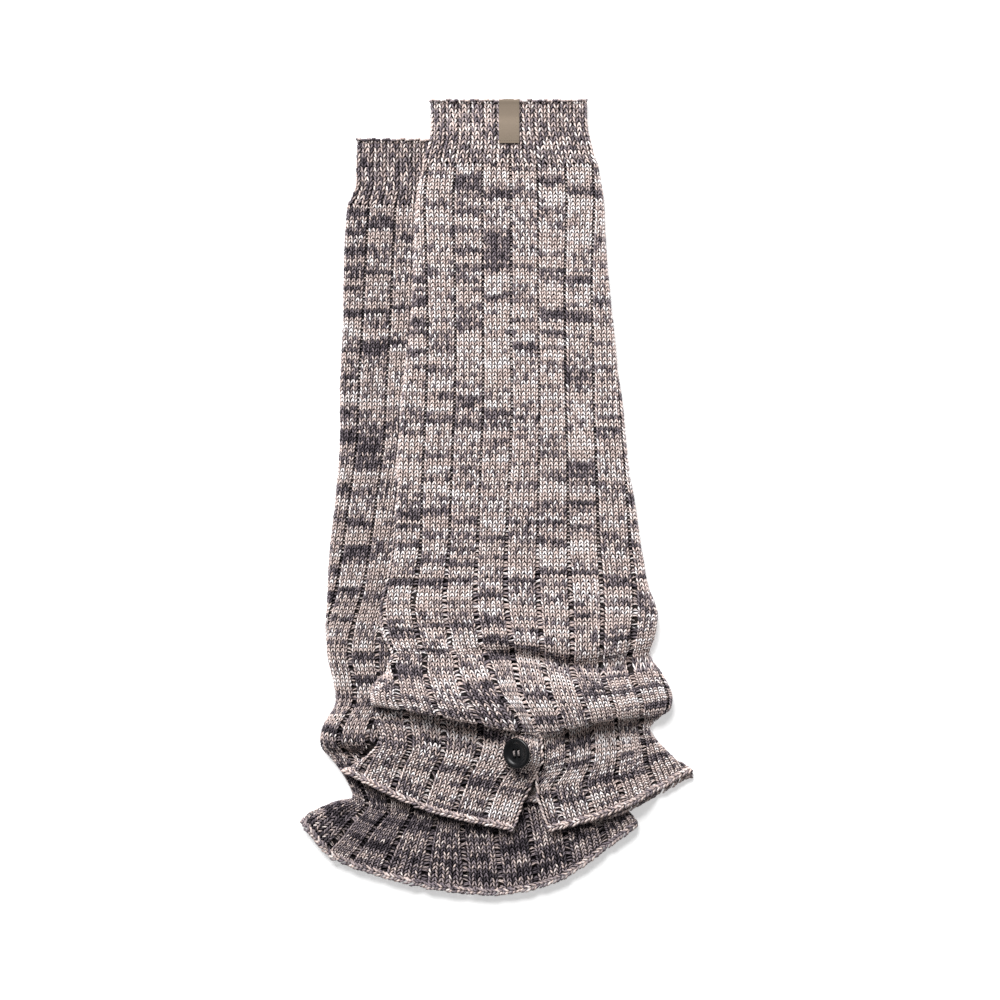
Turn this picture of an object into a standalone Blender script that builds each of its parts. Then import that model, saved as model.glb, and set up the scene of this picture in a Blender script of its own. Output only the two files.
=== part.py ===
"""Pair of rib-knit leg warmers lying flat, one on top of the other.

Each one is a knitted tube, open at both ends: a fine-ribbed cuff, a wide-ribbed leg that widens
downwards, a slouched stretch that has sunk into a swell and a roll, and a flared lower edge.
The upper one has a slit in the middle of its lower edge, with the left flap lapped over the
right one under a four-hole button, and a woven label folded over the edge of its cuff.

The origin is in the middle of the pair, on the surface that it lies on. +X is to the right,
+Y runs from the lower edges to the cuffs and +Z is up. Tables and sizes are in millimetres.
"""

import math
from collections import namedtuple

import bmesh
import bpy
from mathutils import Matrix, Vector

MM = 0.001

# Cloth
WALL = 2.4
PANEL_GAP = 0.8
TUBE = 2 * WALL + PANEL_GAP
SEAM_GAP = 0.3
LAY_GAP = 0.5

# Ribs of the leg: five raised wales and one sunk wale
RIB_DEPTH = 1.1
RIB_SHOULDER = 0.17
CUFF_RIB_DEPTH = 0.9
CUFF_SHOULDER = 0.3

# Side edges of a flattened tube
EDGE_LOW = 1.2
EDGE_HIGH = 0.5
EDGE_FIRST = 1.3
EDGE_STEP = 0.35
EDGE_ROUND = 3.0

# Height of the lower tube where the upper one presses on it
PRESSED_FLAT = TUBE
PRESSED_SLOUCH = 9.0
SLOUCH_STARTS = (-75.0, -92.0)
SLOUCH_ENDS = (-152.0, -172.0)
PRESS_NEAR = 1.5
PRESS_FAR = 7.5
SIDE_RAMP = 18.0
END_RAMP = 19.0

# Cuff edge, label and button
CUFF_TOP = 237.1
UNDER_CUFF_TOP = 213.5
MOUTH_GAP = 2.0
MOUTH_DEPTH = 16.0
LABEL_X = (2.5, 13.0)
LABEL_LOW = 212.5
LABEL_THICK = 0.6
LABEL_TAIL = 7.0
BUTTON_CENTRE = (12.5, -154.0)
BUTTON_DIAMETER = 19.2
BUTTON_THICK = 3.0
BUTTON_TILT = math.radians(33)
BUTTON_LEAN = math.radians(7)
BUTTON_LIFT = 12.8
SEAT_TILT = math.radians(24)
SEAT_HEIGHT = 9.8
SEAT_INNER = 9.0
SEAT_OUTER = 14.5
HOLE_DIAMETER = 1.9
HOLE_SPACING = 3.2

# One row across a tube, left to right. Heights are those of the upper panel above what lies
# under the tube. The mid points lie part of the way from a side to the slit line.
Row = namedtuple("Row", "name left_x left_y left_mid_y slit_x slit_y flap_x flap_y right_mid_y "
                        "right_x right_y back_y left_h left_mid_h slit_h flap_h right_mid_h "
                        "right_h left_rib right_rib gap", defaults=(PANEL_GAP,))

OVER_ROWS = [Row(*values) for values in (
    ("top", -44.0, 198.7, 198.7, 8.5, 198.7, 8.8, 198.7, 198.7, 61.5, 198.7, 198.7,
     5.6, 5.6, 5.6, 5.6, 5.6, 5.6, 0.7, 7.3),
    ("calf_1", -48.0, 177.5, 177.5, 9.0, 177.5, 9.3, 177.5, 177.5, 65.0, 177.5, 177.5,
     5.6, 5.6, 5.6, 5.6, 5.6, 5.6, 0.6, 7.45),
    ("calf_2", -50.0, 128.5, 128.5, 9.0, 128.5, 9.3, 128.5, 128.5, 68.0, 128.5, 128.5,
     5.6, 5.6, 5.6, 5.6, 5.6, 5.6, 0.4, 7.75),
    ("calf_3", -53.5, 88.0, 88.0, 9.0, 88.0, 9.3, 88.0, 88.0, 72.5, 88.0, 88.0,
     5.6, 5.6, 5.6, 5.6, 5.6, 5.6, 0.15, 7.95),
    ("calf_4", -57.5, 57.5, 57.5, 9.5, 57.5, 9.8, 57.5, 57.5, 76.0, 57.5, 57.5,
     5.6, 5.6, 5.6, 5.6, 5.6, 5.6, 0.0, 8.15),
    ("calf_5", -60.0, 25.5, 25.5, 8.5, 25.5, 8.8, 25.5, 25.5, 79.0, 25.5, 25.5,
     5.6, 5.6, 5.6, 5.6, 5.6, 5.6, -0.05, 8.2),
    ("calf_6", -61.0, -7.0, -7.0, 7.0, -7.0, 7.3, -7.0, -7.0, 84.0, -7.0, -7.0,
     5.6, 5.6, 5.8, 5.8, 5.6, 5.6, -0.05, 8.35),
    ("calf_7", -62.5, -31.0, -31.0, 6.0, -31.0, 6.3, -31.0, -31.0, 87.5, -31.0, -31.0,
     5.6, 5.8, 6.2, 6.2, 6.2, 5.8, -0.1, 8.45),
    ("swell_1", -65.0, -47.0, -47.0, 5.5, -47.0, 5.8, -47.0, -47.0, 90.0, -47.0, -47.0,
     6.0, 7.0, 7.6, 7.6, 7.6, 7.0, -0.1, 8.5),
    ("swell_2", -69.5, -65.5, -65.5, 6.0, -65.5, 6.3, -65.5, -66.5, 96.5, -67.0, -66.5,
     7.5, 9.5, 11.0, 11.0, 11.0, 9.0, -0.2, 8.8),
    ("swell_3", -69.5, -80.5, -80.5, 8.0, -80.5, 8.3, -80.5, -82.0, 96.5, -80.5, -80.5,
     7.5, 9.5, 13.0, 13.0, 13.0, 10.0, -0.3, 8.9),
    ("swell_lip", -64.0, -92.0, -92.5, 9.5, -91.5, 9.8, -91.5, -96.5, 93.5, -91.0, -91.5,
     6.5, 8.6, 11.0, 11.0, 10.5, 7.5, -0.2, 8.8),
    ("crease", -63.0, -95.0, -95.5, 9.5, -94.5, 9.8, -94.5, -99.5, 92.5, -93.5, -94.0,
     6.0, 8.0, 6.5, 6.5, 7.0, 6.0, -0.25, 8.8),
    ("roll_back", -65.5, -100.5, -103.5, 11.0, -101.0, 11.3, -101.0, -106.0, 98.0, -103.5, -102.0,
     7.0, 9.5, 9.0, 9.0, 10.0, 7.5, -0.3, 8.9),
    ("roll_top", -73.0, -112.0, -118.0, 14.5, -118.0, 14.8, -118.0, -118.0, 104.0, -114.5, -113.0,
     10.0, 15.0, 15.0, 15.0, 15.5, 10.5, -0.8, 9.0),
    ("roll_front", -75.5, -122.0, -130.0, 21.0, -132.5, 21.3, -132.5, -130.0, 106.0, -122.5, -122.5,
     10.5, 16.0, 15.5, 15.5, 16.0, 11.0, -0.95, 9.05),
    ("roll_lip", -75.5, -127.0, -136.0, 25.0, -142.0, 25.3, -142.0, -136.5, 103.0, -130.5, -129.5,
     9.0, 12.0, 14.5, 14.5, 12.0, 9.0, -1.0, 8.95),
    ("tuck", -75.0, -129.5, -131.5, 27.0, -146.5, 27.3, -146.5, -132.5, 97.0, -135.5, -133.5,
     6.4, 7.6, 13.5, 11.5, 7.6, 6.8, -1.0, 8.7),
    ("flare_1", -74.5, -132.5, -137.0, 27.5, -152.5, 27.8, -152.5, -140.0, 92.5, -139.5, -138.5,
     5.8, 6.6, 12.5, 10.0, 6.8, 6.0, -1.0, 8.5),
    ("flare_2", -72.5, -140.0, -147.5, 27.5, -160.0, 27.8, -160.0, -149.5, 96.0, -145.5, -148.0,
     5.6, 6.2, 11.0, 8.5, 6.4, 5.8, -1.05, 8.6),
    ("slit_top", -71.5, -147.5, -157.0, 24.5, -166.5, 25.0, -166.5, -160.0, 101.0, -151.0, -157.0,
     5.6, 6.0, 9.2, 6.8, 6.2, 5.8, -1.1, 8.8),
    ("flare_3", -77.0, -154.0, -167.5, 20.0, -175.5, 25.0, -176.5, -169.5, 107.0, -156.5, -166.0,
     5.8, 6.0, 7.2, 6.4, 6.0, 6.0, -1.2, 8.95),
    ("flare_4", -84.0, -160.5, -178.5, 15.0, -187.0, 27.5, -188.5, -178.5, 113.0, -160.5, -174.5,
     5.8, 5.8, 5.4, 5.4, 5.8, 6.0, -1.4, 9.1),
    ("cast_off", -90.5, -164.5, -187.5, 11.0, -199.5, 31.0, -200.0, -187.0, 116.5, -164.0, -182.0,
     5.6, 5.2, 3.8, 3.8, 5.2, 5.6, -1.6, 9.2),
)]
OVER_MID = 0.5
OVER_SLIT_RIB = 4
OVER_LAST_RIB = 9
OVER_FIRST_RIB = -1
OPEN_ROW = "slit_top"
OPEN_RIB_STEP = 0.5

UnderRow = namedtuple("UnderRow", "name left_x left_y left_mid_y mid_x mid_y right_mid_y right_x "
                                  "right_y back_y left_h left_mid_h mid_h right_mid_h right_h "
                                  "left_rib right_rib")

UNDER_ROWS = [UnderRow(*values) for values in (
    ("top", -90.0, 174.2, 174.2, 4.0, 174.2, 174.2, 18.0, 174.2, 174.2,
     5.6, 5.6, 5.6, 5.6, 5.6, 0.05, 6.9),
    ("calf_1", -91.5, 153.5, 153.5, 3.5, 153.5, 153.5, 21.0, 153.5, 153.5,
     5.6, 5.6, 5.6, 5.6, 5.6, 0.05, 7.05),
    ("calf_2", -92.5, 104.0, 104.0, 2.5, 104.0, 104.0, 25.0, 104.0, 104.0,
     5.6, 5.6, 5.6, 5.6, 5.6, 0.15, 7.4),
    ("calf_3", -94.0, 63.5, 63.5, 0.0, 63.5, 63.5, 31.0, 63.5, 63.5,
     5.6, 5.6, 5.6, 5.6, 5.6, 0.2, 7.9),
    ("calf_4", -94.0, 32.5, 32.5, -2.5, 32.5, 32.5, 39.5, 32.5, 32.5,
     5.6, 5.6, 5.6, 5.6, 5.6, 0.25, 8.5),
    ("calf_5", -96.5, 1.0, 1.0, -6.5, 1.0, 1.0, 42.5, 1.0, 1.0,
     5.6, 5.6, 5.6, 5.6, 5.6, 0.35, 8.9),
    ("calf_6", -100.0, -31.5, -31.5, -11.0, -31.5, -31.5, 45.0, -31.5, -31.5,
     5.6, 5.6, 5.6, 5.6, 5.6, 0.4, 9.2),
    ("calf_7", -101.5, -56.5, -56.5, -15.5, -56.5, -56.5, 48.5, -56.5, -56.5,
     6.0, 6.2, 5.6, 5.6, 5.6, 0.55, 9.6),
    ("swell_1", -102.5, -74.5, -74.5, -19.0, -74.5, -74.5, 53.0, -74.5, -74.5,
     7.0, 7.5, 6.5, 6.0, 6.0, 0.8, 10.0),
    ("swell_2", -102.5, -92.5, -92.5, -21.5, -92.5, -92.5, 59.5, -92.5, -92.5,
     8.0, 8.8, 9.0, 9.0, 8.0, 1.0, 10.3),
    ("swell_3", -98.5, -111.5, -111.5, -24.0, -111.5, -111.5, 62.5, -111.5, -111.5,
     8.5, 9.0, 9.0, 9.0, 8.0, 1.0, 10.5),
    ("notch", -96.5, -124.0, -124.0, -24.5, -124.0, -124.5, 61.0, -125.0, -124.5,
     7.0, 8.5, 9.0, 9.0, 8.0, 1.1, 10.5),
    ("roll_back", -100.0, -131.0, -131.0, -24.5, -131.0, -131.5, 64.0, -132.5, -131.5,
     9.0, 10.5, 9.0, 9.0, 8.0, 1.15, 10.5),
    ("roll_top", -104.5, -138.5, -139.5, -24.0, -139.0, -139.5, 68.0, -139.5, -139.0,
     12.0, 13.0, 9.0, 9.0, 8.0, 1.15, 10.6),
    ("roll_front", -106.0, -145.5, -147.5, -23.5, -145.5, -146.0, 69.5, -146.5, -146.0,
     12.0, 13.5, 9.0, 9.0, 8.0, 1.15, 10.6),
    ("roll_lip", -105.0, -151.0, -152.0, -23.0, -150.5, -151.5, 67.0, -152.5, -152.0,
     10.0, 10.5, 9.0, 9.0, 8.0, 1.15, 10.6),
    ("tuck", -103.0, -154.0, -153.0, -23.0, -154.0, -155.0, 65.0, -155.5, -155.0,
     7.5, 7.0, 9.0, 9.0, 8.0, 1.15, 10.6),
    ("flare_1", -99.5, -157.5, -156.5, -22.0, -158.5, -160.0, 62.5, -160.0, -158.5,
     6.5, 6.2, 8.0, 8.0, 7.0, 1.15, 10.6),
    ("flare_2", -95.5, -162.5, -163.5, -21.5, -166.0, -167.0, 61.0, -166.5, -165.5,
     6.0, 5.8, 6.0, 6.0, 6.0, 1.2, 10.6),
    ("flare_3", -90.0, -170.5, -174.5, -21.0, -178.0, -178.0, 63.5, -173.5, -175.0,
     5.8, 5.6, 5.6, 5.6, 5.6, 1.3, 10.7),
    ("nip", -86.0, -181.0, -187.5, -20.5, -192.5, -190.0, 71.0, -181.0, -186.5,
     5.4, 5.4, 5.6, 5.6, 6.0, 1.3, 10.8),
    ("ear_1", -95.0, -183.0, -197.5, -20.0, -207.5, -203.5, 78.0, -186.5, -196.5,
     7.5, 6.0, 5.6, 5.6, 6.5, 1.3, 10.9),
    ("ear_2", -105.5, -186.5, -208.0, -18.5, -220.0, -215.5, 82.0, -190.0, -208.5,
     8.0, 6.0, 5.6, 5.6, 6.5, 1.25, 11.0),
    ("ear_3", -113.0, -190.0, -214.0, -18.0, -230.0, -226.0, 84.5, -193.0, -220.0,
     8.0, 6.0, 5.6, 5.6, 6.2, 1.2, 11.0),
    ("cast_off", -116.5, -194.5, -217.0, -17.5, -237.3, -231.0, 85.0, -196.5, -236.0,
     6.0, 5.6, 5.6, 5.6, 5.8, 1.2, 11.0),
)]
UNDER_MID = 0.2
UNDER_MID_RIB = 6
UNDER_FIRST_RIB = 1
UNDER_LAST_RIB = 10

# Cuff rows: y, left x, right x
CuffRow = namedtuple("CuffRow", "y left_x right_x")
OVER_CUFF = [CuffRow(*values) for values in (
    (CUFF_TOP, -39.5, 54.5),
    (233.0, -39.5, 54.7),
    (227.0, -39.5, 54.9),
    (220.5, -39.5, 55.3),
    (213.0, -40.0, 57.0),
    (203.0, -43.0, 59.5),
    (199.0, -44.0, 61.5),
)]
UNDER_CUFF = [CuffRow(*values) for values in (
    (UNDER_CUFF_TOP, -83.5, 11.0),
    (197.5, -84.5, 12.0),
    (187.0, -84.5, 12.5),
    (178.5, -87.5, 16.0),
    (174.5, -90.0, 18.0),
)]
OVER_CUFF_RIBS = (1.6, 14.4)
UNDER_CUFF_RIBS = (0.4, 13.2)
CUFF_MID_RIB = 8

# Right side of the lower tube, as far as the upper one is held up by it: y, x
UNDER_SIDE = [(238.0, 12.5), (213.5, 12.5), (174.0, 19.5), (104.0, 26.5), (32.5, 41.0),
              (-31.5, 47.0), (-92.0, 62.0), (-146.0, 72.0), (-197.0, 86.5), (-238.0, 86.5)]

KNIT_OVER = ("knitted yarn, upper pair", (0.30, 0.25, 0.24, 1.0), 0.95)
KNIT_UNDER = ("knitted yarn, lower pair", (0.22, 0.19, 0.19, 1.0), 0.95)
BUTTON_MATERIAL = ("dark horn-look resin", (0.012, 0.012, 0.013, 1.0), 0.35)
LABEL_MATERIAL = ("woven taupe tape", (0.16, 0.13, 0.11, 1.0), 0.85)


def clear_scene():
    """Take every object out of the scene."""
    for item in list(bpy.data.objects):
        bpy.data.objects.remove(item, do_unlink=True)


def smooth_step(value, start, end):
    """0 at start, 1 at end, with soft ends."""
    part = min(max((value - start) / (end - start), 0.0), 1.0)
    return part * part * (3 - 2 * part)


def mix(first, second, part):
    return first + (second - first) * part


def along(points, at):
    """Straight interpolation in a list of (place, value) pairs sorted downwards by place."""
    if at >= points[0][0]:
        return points[0][1]
    for (high, first), (low, second) in zip(points, points[1:]):
        if at >= low:
            return mix(first, second, (high - at) / (high - low))
    return points[-1][1]


def smooth_through(places, values, at):
    """A soft curve through a few values, with the slope at each taken from its neighbours."""
    last = len(places) - 1
    index = 0
    while index < last - 1 and at > places[index + 1]:
        index += 1

    def slope(knot):
        low = max(knot - 1, 0)
        high = min(knot + 1, last)
        return (values[high] - values[low]) / (places[high] - places[low])

    span = places[index + 1] - places[index]
    part = min(max((at - places[index]) / span, 0.0), 1.0)
    rise = values[index + 1] - values[index]
    start = slope(index) * span
    end = slope(index + 1) * span
    square = part * part
    cube = square * part
    return (values[index] + start * (cube - 2 * square + part)
            + rise * (3 * square - 2 * cube) + end * (cube - square))


def pressed_height(y):
    """Height of the lower tube where the upper one lies on it."""
    slouch = smooth_step(y, *SLOUCH_STARTS) * (1 - smooth_step(y, *SLOUCH_ENDS))
    return mix(PRESSED_FLAT, PRESSED_SLOUCH, slouch)


def over_support(x, y):
    """Height that the upper tube's underside lies at: on the lower tube, then down to the floor."""
    side = 1 - smooth_step(x, along(UNDER_SIDE, y), along(UNDER_SIDE, y) + SIDE_RAMP)
    end = 1 - smooth_step(y, UNDER_CUFF_TOP + 1, UNDER_CUFF_TOP + 1 + END_RAMP)
    return (pressed_height(y) + LAY_GAP) * side * end


def floor_support(x, y):
    return 0.0


def covered(x, y):
    """1 where the upper tube lies on the lower one, 0 where the lower one shows freely."""
    left = [(row.y, row.left_x) for row in OVER_CUFF] + [(row.left_y, row.left_x) for row in OVER_ROWS]
    hem = OVER_ROWS[-1]
    places, heights = knots(hem, OVER_MID, ("left_y", "left_mid_y", "slit_y", "right_mid_y", "right_y"))
    hem_y = smooth_through(places, heights, min(max(x, hem.left_x), hem.right_x))
    outside = max(along(left, y) - x, hem_y - y)
    return 1 - smooth_step(outside, PRESS_NEAR, PRESS_FAR)


def knots(row, mid, names):
    """The places and values of a row's five points across the tube."""
    middle = 0.5 * (row.slit_x + row.flap_x)
    places = (row.left_x, mix(row.left_x, row.slit_x, mid), middle,
              mix(row.flap_x, row.right_x, 0.5), row.right_x)
    return places, tuple(getattr(row, name) for name in names)


def row_value(row, mid, x, kind, right_part, is_open):
    """A row's y or height at x. Below the slit's top the two flaps are separate curves."""
    names = [f"left_{kind}", f"left_mid_{kind}", f"slit_{kind}", f"right_mid_{kind}", f"right_{kind}"]
    if not is_open and abs(row.slit_h - row.flap_h) < 0.01:
        places, values = knots(row, mid, names)
        return smooth_through(places, values, x)
    if right_part:
        places = (row.flap_x, mix(row.flap_x, row.right_x, 0.5), row.right_x)
        values = (getattr(row, f"flap_{kind}"), getattr(row, names[3]), getattr(row, names[4]))
    else:
        places = (row.left_x, mix(row.left_x, row.slit_x, mid), row.slit_x)
        values = tuple(getattr(row, name) for name in names[:3])
    return smooth_through(places, values, x)


class Tube:
    """One flattened tube of cloth: rows across it, and what it lies on."""

    def __init__(self, rows, mid, support, ribs, first_rib, slit_rib, last_rib, open_from=None,
                 pressed=False, seat=False):
        self.rows = rows
        self.mid = mid
        self.support = support
        self.depth, self.shoulder = ribs
        self.slit_rib = slit_rib
        self.open_from = len(rows) if open_from is None else open_from
        self.pressed = pressed
        self.seat = seat
        self.left_columns = self.rib_columns(first_rib - self.shoulder, slit_rib)
        self.right_columns = self.rib_columns(slit_rib, last_rib + self.shoulder)

    def rib_columns(self, start, end):
        """(rib number, groove weight) of each line of points from start to end."""
        columns = []
        for rib in range(math.floor(start), math.ceil(end) + 1):
            for place, weight in ((rib - self.shoulder, 0), (rib, 1), (rib + self.shoulder, 0)):
                if start - 0.001 <= place <= end + 0.001:
                    columns.append((place, weight))
        return columns

    def top_point(self, index, x, groove, right_part, edge):
        """A point of the upper panel's outer face. Edge is its distance from the nearest side."""
        row = self.rows[index]
        is_open = index >= self.open_from
        y = row_value(row, self.mid, x, "y", right_part, is_open)
        height = row_value(row, self.mid, x, "h", right_part, is_open)
        near = min(edge / EDGE_ROUND, 1.0)
        height *= mix(0.8, 1.0, math.sqrt(1 - (1 - near) ** 2))
        groove *= self.depth * smooth_step(edge, 1.0, 4.0)
        if self.seat:
            height, groove = self.button_seat(x, y, height, groove)
        if self.pressed:
            under = covered(x, y)
            height = mix(height, pressed_height(y), under)
            groove *= 1 - under
        return Vector((x, y, self.support(x, y) + height - groove))

    def button_seat(self, x, y, height, groove):
        """Tilt the flap under the button and smooth its ribs away there."""
        across = x - BUTTON_CENTRE[0]
        part = 1 - smooth_step(math.hypot(across, y - BUTTON_CENTRE[1]), SEAT_INNER, SEAT_OUTER)
        seat = SEAT_HEIGHT + across * math.tan(SEAT_TILT)
        return mix(height, seat, part), groove * (1 - part)

    def place_columns(self, index):
        """x, groove weight and side distance of each upper line, left part and right part."""
        row = self.rows[index]
        width = row.slit_x - row.left_x
        left = []
        for count, (rib, weight) in enumerate(self.left_columns):
            part = (rib - row.left_rib) / (self.slit_rib - row.left_rib)
            edge = max(part * width, EDGE_FIRST + EDGE_STEP * count)
            left.append((row.left_x + edge, weight, edge))
        width = row.right_x - row.flap_x
        start = self.slit_rib + (OPEN_RIB_STEP if index > self.open_from else 0)
        right = []
        last = len(self.right_columns) - 1
        for count, (rib, weight) in enumerate(self.right_columns):
            part = (rib - start) / (row.right_rib - start)
            near = max(part * width, EDGE_STEP * count)
            edge = max(width - near, EDGE_FIRST + EDGE_STEP * (last - count))
            right.append((row.right_x - edge, weight, edge))
        right[0] = (row.flap_x, weight_at_slit(self, index), width)
        left[-1] = (row.slit_x, weight_at_slit(self, index), row.slit_x - row.left_x)
        return left, right

    def side_ring(self, index, right_part, inner):
        """Points round a side edge, from the upper panel to the lower one."""
        row = self.rows[index]
        x, y, height = ((row.right_x, row.right_y, row.right_h) if right_part
                        else (row.left_x, row.left_y, row.left_h))
        inward = -1 if right_part else 1
        if inner:
            steps = ((WALL, WALL + 0.5 * row.gap),)
        else:
            steps = ((EDGE_HIGH, 0.8 * height), (0.0, 0.4 * height), (EDGE_LOW, 0.0))
        return [Vector((x + inward * step, y, self.support(x + inward * step, y) + rise))
                for step, rise in steps]

    def plain_columns(self, index):
        """x of the plain lines of the lower panel and of the inner faces, left part and right part."""
        row = self.rows[index]
        held = min(max(along(UNDER_SIDE, row.back_y), row.flap_x + 2), row.right_x - SIDE_RAMP - 8)
        left = [mix(row.left_x, row.slit_x, part) for part in (0.12, 0.4, 0.7, 1.0)]
        right = [mix(row.flap_x, held, 0.5), held]
        right += [held + SIDE_RAMP * part for part in (0.25, 0.5, 0.75, 1.0)]
        right.append(row.right_x - 5)
        return left, right

    def back_y(self, index, x):
        row = self.rows[index]
        middle = 0.5 * (row.left_x + row.right_x)
        return smooth_through((row.left_x, middle, row.right_x),
                              (row.left_y, row.back_y, row.right_y), x)

    def outer_ring(self, index):
        left, right = self.place_columns(index)
        ring = [self.top_point(index, x, weight, True, edge) for x, weight, edge in right]
        ring += self.side_ring(index, True, False)
        plain_left, plain_right = self.plain_columns(index)
        for x in reversed(plain_left + plain_right):
            y = self.back_y(index, x)
            ring.append(Vector((x, y, self.support(x, y))))
        ring += reversed(self.side_ring(index, False, False))
        ring += [self.top_point(index, x, weight, False, edge) for x, weight, edge in left]
        return ring

    def inner_top(self, index, x, right_part):
        """A point of the upper panel's inner face, plain and below the folds."""
        row = self.rows[index]
        is_open = index >= self.open_from
        free = smooth_step(index, self.open_from - 3, self.open_from + 1)
        outer_y = row_value(row, self.mid, x, "y", right_part, is_open)
        y = mix(self.back_y(index, x), outer_y, free)
        height = row_value(row, self.mid, x, "h", right_part, is_open)
        return Vector((x, y, self.support(x, y) + min(WALL + row.gap, height - WALL)))

    def inner_ring(self, index):
        row = self.rows[index]
        plain_left, plain_right = self.plain_columns(index)
        plain_right[-1] -= WALL
        ring = [self.inner_top(index, x, True) for x in [row.flap_x] + plain_right]
        ring += self.side_ring(index, True, True)
        for x in reversed(plain_left + plain_right):
            y = self.back_y(index, x)
            ring.append(Vector((x, y, self.support(x, y) + WALL)))
        ring += self.side_ring(index, False, True)
        ring += [self.inner_top(index, x, False) for x in plain_left]
        return ring

    def build(self, name, material):
        """The wall: outer and inner skins, joined at both ends and along the slit."""
        mesh = bmesh.new()
        count = len(self.rows)
        outer = [[mesh.verts.new(point * MM) for point in self.outer_ring(i)] for i in range(count)]
        inner = [[mesh.verts.new(point * MM) for point in self.inner_ring(i)] for i in range(count)]
        skin(mesh, outer, self.open_from)
        skin(mesh, inner, self.open_from)
        close_end(mesh, outer[0], inner[0], True)
        close_end(mesh, outer[-1], inner[-1], self.open_from >= count)
        if self.open_from < count:
            self.close_slit(mesh, outer, inner)
        return finish(mesh, name, material)

    def close_slit(self, mesh, outer, inner):
        """Faces across the wall's thickness along both flaps and at the top of the slit."""
        top = self.open_from
        mesh.faces.new((outer[top][0], outer[top][-1], inner[top][-1], inner[top][0]))
        for index in range(top, len(outer) - 1):
            for place in (0, -1):
                mesh.faces.new((outer[index][place], outer[index + 1][place],
                                inner[index + 1][place], inner[index][place]))


def weight_at_slit(tube, index):
    """The slit's own lines lie in a groove, apart from the lap, where the flaps are raised."""
    row = tube.rows[index]
    lapped = abs(row.slit_h - row.flap_h) > 0.01 or index >= tube.open_from
    return 0 if lapped else 1


def skin(mesh, rings, open_from):
    """Faces between neighbouring rings. The closing face is left out where the tube is slit."""
    for index, (ring, following) in enumerate(zip(rings, rings[1:])):
        count = len(ring)
        closing = 1 if index < open_from else 0
        for place in range(count - 1 + closing):
            after = (place + 1) % count
            mesh.faces.new((ring[place], ring[after], following[after], following[place]))


def close_end(mesh, outer, inner, closed):
    """Triangles between two rings of different counts, always taking the shorter diagonal."""
    first = 0
    second = 0
    while first < len(outer) - 1 or second < len(inner) - 1:
        step_outer = second == len(inner) - 1
        if first < len(outer) - 1 and second < len(inner) - 1:
            ahead = (outer[first + 1].co - inner[second].co).length
            across = (outer[first].co - inner[second + 1].co).length
            step_outer = ahead < across
        if step_outer:
            mesh.faces.new((outer[first], outer[first + 1], inner[second]))
            first += 1
        else:
            mesh.faces.new((outer[first], inner[second + 1], inner[second]))
            second += 1
    if closed:
        mesh.faces.new((outer[-1], outer[0], inner[0], inner[-1]))


def make_material(name, colour, roughness):
    material = bpy.data.materials.get(name) or bpy.data.materials.new(name)
    material.use_nodes = True
    shader = material.node_tree.nodes["Principled BSDF"]
    shader.inputs["Base Color"].default_value = colour
    shader.inputs["Roughness"].default_value = roughness
    shader.inputs["Metallic"].default_value = 0.0
    return material


def finish(mesh, name, material):
    """Turn a bmesh into a named object with its faces pointing out."""
    bmesh.ops.triangulate(mesh, faces=mesh.faces[:])
    bmesh.ops.recalc_face_normals(mesh, faces=mesh.faces[:])
    data = bpy.data.meshes.new(name)
    mesh.to_mesh(data)
    mesh.free()
    data.shade_smooth()
    data.set_sharp_from_angle(angle=math.radians(50))
    data.materials.append(make_material(*material))
    item = bpy.data.objects.new(name, data)
    bpy.context.scene.collection.objects.link(item)
    return item


def under_leg_rows():
    """The lower leg's rows in the form of the upper one's, with no slit."""
    rows = []
    for row in UNDER_ROWS:
        rows.append(Row(row.name, row.left_x, row.left_y, row.left_mid_y, row.mid_x, row.mid_y,
                        row.mid_x + SEAM_GAP, row.mid_y, row.right_mid_y, row.right_x, row.right_y,
                        row.back_y, row.left_h, row.left_mid_h, row.mid_h, row.mid_h,
                        row.right_mid_h, row.right_h, row.left_rib, row.right_rib))
    return rows


def cuff_rows(table, ribs):
    """Straight rows of a cuff, a little open at its mouth."""
    mouth = table[0].y
    rows = []
    for row in table:
        gap = mix(MOUTH_GAP, PANEL_GAP, smooth_step(mouth - row.y, 0, MOUTH_DEPTH))
        height = 2 * WALL + gap
        part = (CUFF_MID_RIB - ribs[0]) / (ribs[1] - ribs[0])
        middle = mix(row.left_x, row.right_x, part)
        rows.append(Row("cuff", row.left_x, row.y, row.y, middle, row.y, middle + SEAM_GAP, row.y,
                        row.y, row.right_x, row.y, row.y, height, height, height, height, height,
                        height, ribs[0], ribs[1], gap))
    return rows


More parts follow.
